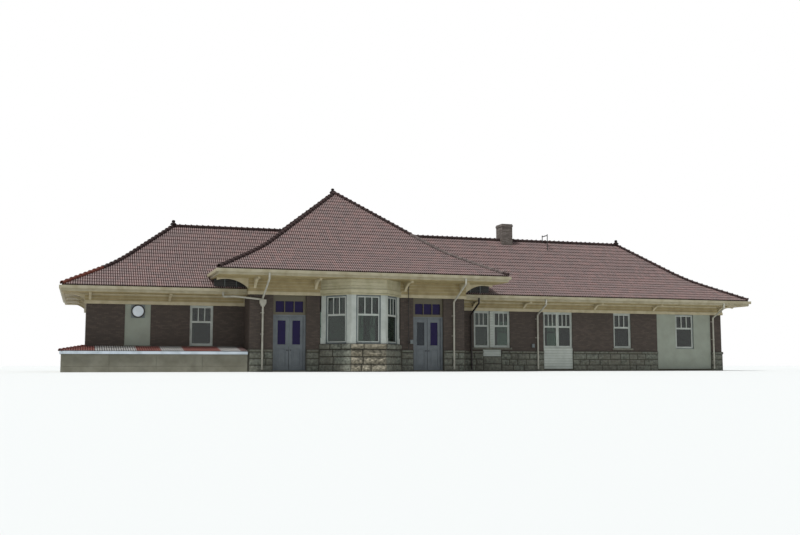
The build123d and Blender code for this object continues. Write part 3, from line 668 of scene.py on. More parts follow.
def join_into(bm: BMesh, other: BMesh) -> None:
    """Add another mesh to this one and free it.

    Args:
        bm: The mesh to add to.
        other: The mesh that is added.
    """
    mesh = bpy.data.meshes.new("joined")
    other.to_mesh(mesh)
    other.free()
    bm.from_mesh(mesh)
    bpy.data.meshes.remove(mesh)


def drop_faces(bm: BMesh, hidden: Callable[[Vector], bool]) -> None:
    """Delete the faces whose middle a test calls hidden.

    Args:
        bm: The mesh to thin out.
        hidden: Takes a point and says whether it is hidden.
    """
    gone = [face for face in bm.faces if hidden(face.calc_center_median())]
    bmesh.ops.delete(bm, geom=gone, context="FACES")


def cut_away(bm: BMesh, point: tuple, outward: tuple) -> None:
    """Cut off what lies beyond a plane.

    Args:
        bm: The mesh to cut.
        point: A point of the plane.
        outward: The direction of what goes.
    """
    bmesh.ops.bisect_plane(
        bm, geom=bm.verts[:] + bm.edges[:] + bm.faces[:], dist=WELD, plane_co=point,
        plane_no=outward, clear_outer=True,
    )


def turned_profile(outline: tuple[Span, ...], steps: int) -> BMesh:
    """Turn an outline of radii and heights about the Z axis.

    Args:
        outline: The outline's points, as a radius and a height.
        steps: The number of steps in the full turn.

    Returns:
        The turned mesh.
    """
    bm = bmesh.new()
    verts = [bm.verts.new((radius, 0, height)) for radius, height in outline]
    edges = [bm.edges.new(pair) for pair in zip(verts, verts[1:])]
    bmesh.ops.spin(
        bm, geom=verts + edges, cent=(0, 0, 0), axis=(0, 0, 1), angle=math.tau, steps=steps,
        use_merge=True,
    )
    bmesh.ops.remove_doubles(bm, verts=bm.verts, dist=WELD)
    bmesh.ops.recalc_face_normals(bm, faces=bm.faces)
    return bm


@dataclass(frozen=True)
class WallFace:
    """An upright face of the building: a point of its foot line and its turn in degrees.

    Its own frame has X along the face, Y into the wall and Z up.
    """

    x: float
    y: float
    turn: float = 0.0

    def place(self) -> Matrix:
        """The matrix from the face's frame to the building's."""
        spin = Matrix.Rotation(math.radians(self.turn), 4, "Z")
        return Matrix.Translation((self.x, self.y, 0)) @ spin


GROUND = WallFace(0, 0)


def facing_out(point: Vector | tuple) -> Matrix:
    """The matrix that lays a turned piece on the facade, its axis pointing out of it."""
    return Matrix.Translation(point) @ Matrix.Rotation(math.radians(90), 4, "X")


def add_board(
    bm: BMesh, face: WallFace, across: Span,
    deep: Span, high: Span, edge: float = 3 * MM,
) -> None:
    """Add a board with eased edges.

    Args:
        bm: The mesh to add to.
        face: The face in whose frame the limits are.
        across: The board's limits along the face.
        deep: Its limits into the wall.
        high: Its limits in height.
        edge: The width of the eased edges.
    """
    low, far = (Vector(limits) for limits in zip(across, deep, high))
    size = far - low
    shape = Matrix.Translation((low + far) / 2) @ Matrix.Diagonal((*size, 1))
    made = bmesh.ops.create_cube(bm, size=1, matrix=face.place() @ shape)
    edges = list({e for v in made["verts"] for e in v.link_edges})
    bmesh.ops.bevel(
        bm, geom=edges, offset=min(edge, min(size) / 3), affect="EDGES", segments=1,
        profile=0.5, material=-1,
    )


@dataclass
class Plan:
    """The building's main lines, taken from the frame."""

    stone_proud: float = 0.03
    belt_proud: float = 0.06
    frieze_proud: float = 0.05
    belt_foot: float = 0.93
    belt_top: float = 1.06
    bay_half: float = 2.025
    bay_front_half: float = 0.86
    bay_depth: float = 1.39
    door_offset: float = 3.505
    door_width: float = 1.6
    # Each window's middle along its face, and its width
    back_windows: tuple[Span, ...] = (
        (12.035, 1.1), (14.985, 1.1), (-3.065, 1.1), (-6.93, 1.74), (-10.875, 1.1), (-14.89, 1.1),
    )
    end_windows: tuple[Span, ...] = ((-2.0, 1.1), (2.0, 1.1))
    pavilion_back_windows: tuple[Span, ...] = (
        (-3.505, 1.6), (-1.17, 1.1), (1.17, 1.1), (3.505, 1.6),
    )

    def __post_init__(self) -> None:
        """Read the walls and the soffits from the frame's boxes."""
        low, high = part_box("pavilion_side_walls")
        self.pavilion_left = low.x + self.belt_proud
        self.pavilion_right = high.x - self.belt_proud
        self.pavilion_x = (low.x + high.x) / 2
        self.pavilion_half = (high.x - low.x) / 2 - self.belt_proud
        self.pavilion_front = high.y - self.belt_proud
        self.pavilion_brick_top = high.z
        low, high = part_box("end_walls")
        self.half_length = high.x - self.belt_proud
        self.half_width = high.y - self.belt_proud
        self.brick_top = high.z
        self.main_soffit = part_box("main_soffits")[0].z
        self.pavilion_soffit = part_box("pavilion_soffits")[0].z

    def front(self, proud: float = 0.0) -> WallFace:
        """The wings' front face, or a face proud of it."""
        return WallFace(0, -self.half_width - proud, Facing.FRONT.value)

    def back(self, proud: float = 0.0) -> WallFace:
        """The wings' back face, or a face proud of it."""
        return WallFace(0, self.half_width + proud, Facing.BACK.value)

    def end(self, side: int, proud: float = 0.0) -> WallFace:
        """An end face, or a face proud of it; side is -1 on the left and 1 on the right."""
        facing = Facing.RIGHT if side > 0 else Facing.LEFT
        return WallFace(side * (self.half_length + proud), 0, facing.value)

    def pavilion_face(self, facing: Facing, proud: float = 0.0) -> WallFace:
        """A face of the pavilion, or a face proud of it.

        Args:
            facing: The side that it faces.
            proud: How far it stands out from the wall.

        Returns:
            The face.
        """
        reach_x, reach_y = self.pavilion_half + proud, self.pavilion_front + proud
        x, y = {
            Facing.FRONT: (0, -reach_y), Facing.BACK: (0, reach_y),
            Facing.LEFT: (-reach_x, 0), Facing.RIGHT: (reach_x, 0),
        }[facing]
        return WallFace(self.pavilion_x + x, y, facing.value)

    def bay_faces(self, proud: float = 0.0) -> list[tuple[WallFace, float]]:
        """The bay's left, front and right faces, each with half its length.

        Args:
            proud: How far the faces stand out from the bay's plan.

        Returns:
            The faces, and half the length of each.
        """
        run_x = self.bay_half - self.bay_front_half
        turn = math.atan2(self.bay_depth, run_x)
        side_half = math.hypot(run_x, self.bay_depth) / 2
        grow = math.tan(turn / 2) * proud
        faces = []
        for side in (-1, 0, 1):
            middle_x = side * (self.bay_half + self.bay_front_half) / 2
            middle_y = -self.bay_depth * (0.5 if side else 1)
            face = WallFace(
                self.pavilion_x + middle_x + math.sin(side * turn) * proud,
                -self.pavilion_front + middle_y - math.cos(side * turn) * proud,
                math.degrees(side * turn),
            )
            faces.append((face, (side_half if side else self.bay_front_half) + grow))
        return faces


PLAN = Plan()


@dataclass
class Slope:
    """A tiled slope's outline, from the eave in to the ridge, and the courses laid on it.

    The ribs and noses have an ordinary tile's height, too small to measure in the photo.
    """

    points: list[Span]
    rib_pitch: float = 0.103
    rib_height: float = 0.022
    nose_height: float = 0.024
    # Shares of the nose's height at the butt's foot, its nose and under the next course
    nose_shares: tuple[float, ...] = (-1 / 2, 1, 1 / 6)
    lapped_rib: float = 0.55
    exposure: float = 0.335
    ribs_per_tile: int = 2
    columns_per_rib: int = 4
    lap: float = 0.04
    unevenness: float = 0.006
    uneven_over: float = 0.8
    # Steps through the noise from course to course and from slope to slope
    course_step: float = 1.7
    slope_step: float = 9.1
    # Keeps a point of the UV map inside its own tile, and inside its own course
    tile_inset: float = 0.01
    course_half: float = 0.4

    def length(self) -> float:
        """The length of the slope from the eave to the ridge."""
        return sum(math.dist(a, b) for a, b in zip(self.points, self.points[1:]))

    def height(self, run: float) -> float:
        """The slope's height.

        Args:
            run: The level distance in from the eave.

        Returns:
            The height there.
        """
        for (run_0, z_0), (run_1, z_1) in zip(self.points, self.points[1:]):
            if run <= run_1:
                return z_0 + (z_1 - z_0) * (run - run_0) / (run_1 - run_0)
        return self.points[-1][1]

    def at(self, distance: float) -> tuple[float, float, float]:
        """The point of the slope at a distance along it.

        Args:
            distance: The distance up the slope from the eave.

        Returns:
            The level run from the eave, the height, and the pitch there.
        """
        for (run_0, z_0), (run_1, z_1) in zip(self.points, self.points[1:]):
            length = math.dist((run_0, z_0), (run_1, z_1))
            pitch = math.atan2(z_1 - z_0, run_1 - run_0)
            if distance <= length + SLACK or run_1 == self.points[-1][0]:
                share = distance / length
                return run_0 + (run_1 - run_0) * share, z_0 + (z_1 - z_0) * share, pitch
            distance -= length
        return (*self.points[-1], 0.0)

    def tiled(self, half: float) -> BMesh:
        """Lay every course of one side.

        Args:
            half: Half the length of its eave; each course higher up is shorter, as at a hip.

        Returns:
            The side, with X along its eave and Y inwards from it.
        """
        side = bmesh.new()
        uv = side.loops.layers.uv.new("UVMap")
        courses = round(self.length() / self.exposure)
        step = self.length() / courses
        for course in range(courses):
            reach = half - self.at(course * step)[0] + self.rib_pitch
            self.lay_course(side, uv, course, step, math.ceil(reach / self.rib_pitch))
        return side

    def lay_course(
        self, side: BMesh, uv: bmesh.types.BMLayerItem, course: int, step: float,
        ribs: int,
    ) -> None:
        """Lay one course: a butt edge and a ribbed face, drawn as a bent grid.

        Args:
            side: The side's mesh.
            uv: The layer that counts tiles and courses.
            course: The course's number from the eave.
            step: The exposed length of a course.
            ribs: The number of ribs each side of the middle.
        """
        columns = 2 * self.columns_per_rib * ribs
        made = bmesh.ops.create_grid(side, x_segments=columns, y_segments=2, size=1)
        for face in {f for v in made["verts"] for f in v.link_faces}:
            for loop in face.loops:
                x, y = loop.vert.co.x, loop.vert.co.y
                tiles = x * ribs / self.ribs_per_tile
                leftmost = x < face.calc_center_median().x
                inward = self.tile_inset if leftmost else -self.tile_inset
                loop[uv].uv = (tiles + inward, course + 0.5 + self.course_half * y)
        relief = (0, 0, self.rib_height, self.rib_height)
        for vert in made["verts"]:
            column = round((vert.co.x + 1) / 2 * columns)
            row = round(vert.co.y + 1)
            run, z, pitch = self.at((course + (1 + self.lap if row == 2 else 0)) * step)
            x = (column / self.columns_per_rib - ribs) * self.rib_pitch
            lift = self.nose_height * self.nose_shares[row]
            if row:
                share = 1.0 if row == 1 else self.lapped_rib
                lift += relief[column % self.columns_per_rib] * share
                lift += self.unevenness * smooth_noise(Vector((
                    x / self.uneven_over, course * self.course_step,
                    len(self.points) * self.slope_step,
                )))
            vert.co = Vector((x, run - lift * math.sin(pitch), z + lift * math.cos(pitch)))


@dataclass
class FlaredRoof:
    """A hipped roof whose slopes flatten towards the eaves, clad in courses of clay tile."""

    centre_x: float
    half_x: float
    half_y: float
    eave_z: float
    peak_z: float
    flare_run: float = 2.4
    eave_pitch: float = math.radians(27.5)
    flare_radius: float = 8.0
    flare_steps: int = 4
    hip_stops: int = 24
    slope: Slope = field(init=False)

    def __post_init__(self) -> None:
        """Work out the slope's outline from the eave in to the ridge."""
        run = min(self.half_x, self.half_y)
        knee = Vector((self.flare_run, self.eave_z + self.flare_run * math.tan(self.eave_pitch)))
        pitch = math.atan2(self.peak_z - knee.y, run - self.flare_run)
        reach = self.flare_radius * math.tan((pitch - self.eave_pitch) / 2)
        start = knee - reach * Vector((math.cos(self.eave_pitch), math.sin(self.eave_pitch)))
        centre = start + self.flare_radius * Vector(
            (-math.sin(self.eave_pitch), math.cos(self.eave_pitch))
        )
        points = [(0.0, self.eave_z)]
        for step in range(self.flare_steps + 1):
            angle = self.eave_pitch + (pitch - self.eave_pitch) * step / self.flare_steps
            point = centre + self.flare_radius * Vector((math.sin(angle), -math.cos(angle)))
            points.append((point.x, point.y))
        self.slope = Slope([*points, (run, self.peak_z)])

    def surface(self, x: float, y: float) -> float | None:
        """The roof's height over a point of the ground.

        Args:
            x: The point's place along the facade.
            y: Its distance behind the building's middle line.

        Returns:
            The height, or None beside the roof.
        """
        run = min(self.half_x - abs(x - self.centre_x), self.half_y - abs(y))
        return self.slope.height(run) if run >= 0 else None

    def hips(self) -> list[tuple[int, int]]:
        """The roof's four corners, as signs along X and Y."""
        return [(side, end) for side in (-1, 1) for end in (-1, 1)]

    def hip_line(self, side: int, end: int, lift: float) -> list[Vector]:
        """Points up a hip from the eave to the ridge.

        Args:
            side: The hip's sign along X.
            end: The hip's sign along Y.
            lift: How far the line runs above the slope.

        Returns:
            The points.
        """
        line = []
        for stop in range(self.hip_stops + 1):
            run, z, _ = self.slope.at(self.slope.length() * stop / self.hip_stops)
            x = self.centre_x + side * (self.half_x - run)
            line.append(Vector((x, end * (self.half_y - run), z + lift)))
        return line

    def tiles(self) -> BMesh:
        """Lay all four sides, each cut along its hips.

        Returns:
            The tiles.
        """
        bm = mapped_mesh()
        for facing in Facing:
            across, out = self.half_x, self.half_y
            if facing in (Facing.LEFT, Facing.RIGHT):
                across, out = out, across
            side = self.slope.tiled(across)
            for hand in (-1, 1):
                cut_away(side, (hand * across, 0, 0), (hand, 1, 0))
            place = WallFace(self.centre_x, 0, facing.value).place()
            bmesh.ops.transform(
                side, matrix=place @ Matrix.Translation((0, -out, 0)), verts=side.verts
            )
            join_into(bm, side)
        return bm


@dataclass
class CapTile:
    """A lapped half-round cap tile with a raised collar at its lower end."""

    cover: float = 0.295
    lap: float = 0.045
    low_radius: float = 0.105
    high_radius: float = 0.088
    collar_radius: float = 0.128
    collar_taper: float = 0.006
    collar_length: float = 0.06
    thickness: float = 0.014
    segments: int = 14
    skirt: float = 0.03

    def add(self, bm: BMesh, foot: Vector, head: Vector, material: int) -> None:
        """Set one cap tile between two points of the line that it covers.

        Args:
            bm: The mesh to add to.
            foot: The point under its lower end.
            head: The point under its upper end.
            material: The index of its finish.
        """
        along = (head - foot).normalized()
        sideways = along.cross(UP).normalized()
        upright = sideways.cross(along)
        turn = Matrix((sideways, upright, along)).transposed().to_4x4()
        tile = bmesh.new()
        uv = tile.loops.layers.uv.new("UVMap")
        for radius_0, radius_1, length in (
            (self.low_radius, self.high_radius, self.cover + self.lap),
            (self.collar_radius, self.collar_radius - self.collar_taper, self.collar_length),
        ):
            bmesh.ops.create_cone(
                tile, cap_ends=False, segments=self.segments, radius1=radius_0,
                radius2=radius_1, depth=length, matrix=Matrix.Translation((0, 0, length / 2)),
            )
        cut_away(tile, (0, -self.skirt, 0), (0, -1, 0))
        bmesh.ops.recalc_face_normals(tile, faces=tile.faces)
        bmesh.ops.solidify(tile, geom=tile.faces[:], thickness=self.thickness)
        number = random.randrange(SHADES) + 0.5
        for face in tile.faces:
            face.material_index = material
            for loop in face.loops:
                loop[uv].uv = (number, number)
        bmesh.ops.transform(tile, matrix=Matrix.Translation(foot) @ turn, verts=tile.verts)
        join_into(bm, tile)

    def run(self, bm: BMesh, line: list[Vector], materials: list[int]) -> None:
        """Lay cap tiles up a bent line.

        Args:
            bm: The mesh to add to.
            line: Points of the line, from its lower end.
            materials: The finish's index for each tile; the last one goes on.
        """
        lengths = [math.dist(a, b) for a, b in zip(line, line[1:])]
        count = round(sum(lengths) / self.cover)
        spots = [point_along(line, lengths, sum(lengths) * i / count) for i in range(count + 1)]
        for i, (foot, head) in enumerate(zip(spots, spots[1:])):
            self.add(bm, foot, head, materials[min(i, len(materials) - 1)])


def point_along(line: list[Vector], lengths: list[float], distance: float) -> Vector:
    """The point of a bent line at a distance from its start.

    Args:
        line: The line's points.
        lengths: The length of each of its parts.
        distance: The distance along it.

    Returns:
        The point.
    """
    for a, b, length in zip(line, line[1:], lengths):
        if distance <= length + SLACK:
            return a.lerp(b, distance / length)
        distance -= length
    return line[-1]


@dataclass
class StationRoofs:
    """The long main roof, the pavilion roof that crosses it, and their caps and finials."""

    shell: float = 0.28
    buried: float = 0.03
    wall_skin: float = 0.02
    finial_steps: int = 24
    cap_lift: float = 0.03
    renewed_caps: int = 9
    mortared_caps: int = 19
    finial_outline: tuple[Span, ...] = (
        (0.0, 0.0), (0.17, 0.0), (0.165, 0.03), (0.125, 0.085), (0.075, 0.11), (0.068, 0.125),
        (0.085, 0.145), (0.094, 0.175), (0.085, 0.207), (0.055, 0.236), (0.0, 0.25),
    )
    caps: CapTile = field(default_factory=CapTile)

    def __post_init__(self) -> None:
        """Read both roofs' sizes from the frame."""
        low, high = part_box("right_wing_roof")
        self.main = FlaredRoof(0.0, high.x, high.y, low.z + self.shell, high.z)
        low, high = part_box("pavilion_roof")
        self.pavilion = FlaredRoof(
            (low.x + high.x) / 2, (high.x - low.x) / 2, high.y, low.z + self.shell, high.z
        )

    def hidden_on_main(self, point: Vector) -> bool:
        """Whether a tile of the main roof lies in the pavilion or in its roof.

        Args:
            point: The middle of one of its faces.

        Returns:
            Whether it is hidden.
        """
        if point.z < PLAN.pavilion_soffit:
            skin = self.wall_skin
            return PLAN.pavilion_left + skin < point.x < PLAN.pavilion_right - skin
        return self.hidden_cap(point)

    def hidden_on_pavilion(self, point: Vector) -> bool:
        """Whether a tile of the pavilion lies in the main roof, from a face's middle."""
        over = self.main.surface(point.x, point.y)
        return over is not None and point.z < over - self.buried

    def hidden_cap(self, point: Vector) -> bool:
        """Whether a cap tile lies in the pavilion's roof, from a face's middle."""
        over = self.pavilion.surface(point.x, point.y)
        return over is not None and point.z < over - self.buried

    def lay_tiles(self) -> None:
        """Lay the tiles of both roofs, without the courses that the other roof covers."""
        main = self.main.tiles()
        drop_faces(main, self.hidden_on_main)
        right = main.copy()
        drop_faces(main, lambda point: point.x > self.pavilion.centre_x)
        drop_faces(right, lambda point: point.x <= self.pavilion.centre_x)
        pavilion = self.pavilion.tiles()
        drop_faces(pavilion, self.hidden_on_pavilion)
        for name, bm in (
            ("left_wing_tiles", main), ("right_wing_tiles", right), ("pavilion_tiles", pavilion)
        ):
            finish_piece(name, bm, Slot.TILE, ["weathered_red_clay_tile"])

    def lay_caps(self) -> None:
        """Lay the cap tiles of the hips and the ridges."""
        finishes = [
            "dark_clay_cap_tile", "new_orange_clay_cap_tile", "mortared_clay_cap_tile"
        ]
        main = mapped_mesh()
        for side, end in self.main.hips():
            renewed = [1] * self.renewed_caps + [0] if (side, end) == (-1, -1) else [0]
            self.caps.run(main, self.main.hip_line(side, end, self.cap_lift), renewed)
        ridge = self.main.half_x - self.main.half_y
        z = self.main.peak_z + self.cap_lift
        middle = Vector((self.pavilion.centre_x, 0, z))
        for start in (-ridge, ridge):
            self.caps.run(main, [Vector((start, 0, z)), middle], [0])
        drop_faces(main, self.hidden_cap)
        piece = finish_piece("main_ridge_caps", main, Slot.CAP, finishes)
        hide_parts("main_ridge_tiles")
        pavilion = mapped_mesh()
        for side, end in self.pavilion.hips():
            mortared = [0] + [2] * self.mortared_caps + [0] if (side, end) == (1, -1) else [0]
            self.caps.run(pavilion, self.pavilion.hip_line(side, end, self.cap_lift), mortared)
        peak = self.pavilion.half_y - self.pavilion.half_x
        z = self.pavilion.peak_z + self.cap_lift
        ends = [Vector((self.pavilion.centre_x, y, z)) for y in (-peak, peak)]
        self.caps.run(pavilion, ends, [0])
        drop_faces(pavilion, self.hidden_on_pavilion)
        piece = finish_piece("pavilion_hip_caps", pavilion, Slot.CAP, finishes)
        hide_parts("pavilion_hip_tiles")

    def set_finials(self) -> None:
        """Turn a squat clay finial for each ridge end and for the pavilion's peak."""
        bm = mapped_mesh()
        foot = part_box("finials")[0].z
        peak_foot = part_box("pavilion_hip_tiles")[1].z
        ridge = self.main.half_x - self.main.half_y
        for x, z in ((-ridge, foot), (ridge, foot), (self.pavilion.centre_x, peak_foot)):
            turned = turned_profile(self.finial_outline, self.finial_steps)
            bmesh.ops.translate(turned, vec=(x, 0, z), verts=turned.verts)
            join_into(bm, turned)
        piece = finish_piece("turned_finials", bm, Slot.CAP, ["dark_clay_cap_tile"])
        smooth_piece(piece)
        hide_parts("finials")

    def build(self) -> None:
        """Clad both roofs."""
        self.lay_tiles()
        self.lay_caps()
        self.set_finials()


@dataclass
class Stonework:
    """Rock-faced stone at the foot of the walls and of the bay, in level courses."""

    courses: int = 3
    joint: float = 0.018
    shortest: float = 0.4
    longest: float = 0.95
    margin: float = 0.035
    chisel: float = 0.022
    bulge: float = 0.05
    front_bulge: float = 0.11
    least_bulge: float = 0.2
    shortest_end: float = 0.7
    belt_bulge: float = 0.25
    columns: int = 8
    rows: int = 5
    bay_batter: float = math.radians(3.0)
    bay_cap_lap: float = 0.06
    patch: Span = (2.54, 3.58)
    patch_foot: float = 0.76
    doorways: tuple[Span, ...] = ((6.06, 7.8), (13.08, 16.6))
    sill: Span = (1.127, 1.233)
    sill_proud: float = 0.064
    sill_lap: float = 0.084
    sill_bed: float = 0.1
    front_sills: tuple[Span, ...] = (
        (-14.985, 1.1), (-12.035, 1.1), (10.875, 1.1), (3.065, 2.07),
    )

    def add_block(
        self, bm: BMesh, place: Matrix, across: Span,
        high: Span, bulge: float, batter: float = 0.0,
    ) -> None:
        """Add the split face of one stone, with a chiselled margin round it.

        Args:
            bm: The mesh to add to.
            place: The wall face's frame.
            across: The stone's limits along the wall.
            high: The stone's limits in height.
            bulge: How far the split face may stand out from the margin.
            batter: How far the face leans in over each metre of height.
        """
        made = bmesh.ops.create_grid(
            bm, x_segments=self.columns, y_segments=self.rows, size=1
        )["verts"]
        uv = bm.loops.layers.uv.verify()
        number = random.randrange(SHADES) + 0.5
        for face in {f for v in made for f in v.link_faces}:
            for loop in face.loops:
                loop[uv].uv = (number, number)
        middle = Vector((sum(across) / 2, sum(high) / 2))
        half = Vector((across[1] - across[0] - self.joint, high[1] - high[0] - self.joint)) / 2
        inner = half - Vector((self.margin, self.margin))
        for vert in made:
            column = round((vert.co.x + 1) / 2 * self.columns)
            row = round((vert.co.y + 1) / 2 * self.rows)
            rim = min(column, self.columns - column, row, self.rows - row)
            inner_x = inner.x * (2 * column - self.columns) / (self.columns - 2)
            inner_z = inner.y * (2 * row - self.rows) / (self.rows - 2)
            x = inner_x if 0 < column < self.columns else vert.co.x * half.x
            z = inner_z if 0 < row < self.rows else vert.co.y * half.y
            out = self.chisel if rim else -self.chisel / 2
            if rim > 1:
                out += bulge * random.uniform(self.least_bulge, 1.0)
            height = middle.y + z
            vert.co = place @ Vector((middle.x + x, batter * height - out, height))

    def lay(
        self, bm: BMesh, face: WallFace, across: Span,
        high: Span, courses: int, bulge: float, batter: float = 0.0,
    ) -> None:
        """Lay courses of stones along a stretch of wall.

        Args:
            bm: The mesh to add to.
            face: The wall's face.
            across: The stretch's limits along the wall.
            high: The limits in height.
            courses: The number of courses.
            bulge: How far the split faces may stand out.
            batter: How far the face leans in over each metre of height.
        """
        place = face.place()
        rise = (high[1] - high[0]) / courses
        for course in range(courses):
            foot = high[0] + course * rise
            x = across[0]
            while x < across[1] - self.joint:
                end = x + random.uniform(self.shortest, self.longest)
                if across[1] - end < self.shortest * self.shortest_end:
                    end = across[1]
                self.add_block(bm, place, (x, end), (foot, foot + rise), bulge, batter)
                x = end

    def stretches(self) -> list[tuple[Callable[[float], WallFace], Span]]:
        """The stretches of stone foot: each face's maker, and its limits along the wall."""
        length, width = PLAN.half_length, PLAN.half_width
        half, front = PLAN.pavilion_half, PLAN.pavilion_front
        bay = PLAN.bay_half + self.bay_cap_lap
        door = PLAN.door_offset - PLAN.door_width / 2
        far_door = PLAN.door_offset + PLAN.door_width / 2
        edges = [
            PLAN.pavilion_right, *self.patch, *[x for pair in self.doorways for x in pair], length
        ]
        wing = [(PLAN.front, pair) for pair in zip(edges[::2], edges[1::2])]
        side = PLAN.pavilion_face
        return [
            *wing,
            (PLAN.back, (-length, -PLAN.pavilion_right)),
            (PLAN.back, (-PLAN.pavilion_left, length)),
            (lambda proud: PLAN.end(1, proud), (-width, width)),
            *[
                (lambda proud: side(Facing.FRONT, proud), across)
                for across in ((-half, -far_door), (-door, -bay), (bay, door), (far_door, half))
            ],
            (lambda proud: side(Facing.BACK, proud), (-half, half)),
            (lambda proud: side(Facing.LEFT, proud), (-front, -width)),
            (lambda proud: side(Facing.RIGHT, proud), (-front, -width)),
            (lambda proud: side(Facing.RIGHT, proud), (width, front)),
        ]

    def lay_foot(self) -> None:
        """Lay the stone foot of the walls and their belt course."""
        foot = mapped_mesh()
        for face, across in self.stretches():
            self.lay(
                foot, face(PLAN.stone_proud), across, (0, PLAN.belt_foot), self.courses, self.bulge
            )
            self.lay(
                foot, face(PLAN.belt_proud), across, (PLAN.belt_foot, PLAN.belt_top), 1,
                self.bulge * self.belt_bulge,
            )
        self.lay(
            foot, PLAN.front(PLAN.stone_proud), self.patch, (0, self.patch_foot), 2, self.bulge
        )
        # The wall foot takes the shaded grey copy of the stone: painted shade
        finish_piece("stone_foot_blocks", foot, Slot.STONE, ["shaded_grey_quarry_faced_stone"])

    def lay_bay_base(self) -> None:
        """Lay the bay's battered base and its deep rock-faced cap."""
        base = mapped_mesh()
        batter = math.tan(self.bay_batter)
        sill_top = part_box("bay_base")[1].z
        bands = (
            (PLAN.belt_top * batter, (0, PLAN.belt_top), self.courses, batter),
            (self.bay_cap_lap, (PLAN.belt_top, sill_top), 1, 0.0),
        )
        for proud, high, courses, lean in bands:
            for face, half in PLAN.bay_faces(proud):
                start = len(base.faces)
                in_front = face.turn == Facing.FRONT.value
                bulge = self.front_bulge if in_front else self.bulge
                self.lay(base, face, (-half, half), high, courses, bulge, lean)
                base.faces.ensure_lookup_table()
                # The front face's stones take the lit tan copy, as painted sunlight; the side
                # faces take the shaded grey copy, as painted shade
                for stone in base.faces[start:]:
                    stone.material_index = int(in_front)
        finish_piece(
            "bay_base_blocks", base, Slot.STONE,
            ["shaded_grey_quarry_faced_stone", "lit_tan_quarry_faced_stone"],
        )

    def lay_sills(self) -> None:
        """Set a dressed stone sill under each opening that starts at sill height."""
        bm = mapped_mesh()
        for face, openings in (
            (PLAN.front(), self.front_sills), (PLAN.back(), PLAN.back_windows),
            (PLAN.end(-1), PLAN.end_windows), (PLAN.end(1), PLAN.end_windows),
            (PLAN.pavilion_face(Facing.BACK), PLAN.pavilion_back_windows),
        ):
            for x, width in openings:
                reach = width / 2 + self.sill_lap
                deep = (-self.sill_proud, self.sill_bed)
                add_board(bm, face, (x - reach, x + reach), deep, self.sill, 6 * MM)
        # The sills take the shaded grey copy of the stone: painted shade
        finish_piece("window_sill_stones", bm, Slot.STONE, ["shaded_grey_quarry_faced_stone"])

    def build(self) -> None:
        """Lay all the stonework."""
        self.lay_foot()
        self.lay_bay_base()
        self.lay_sills()


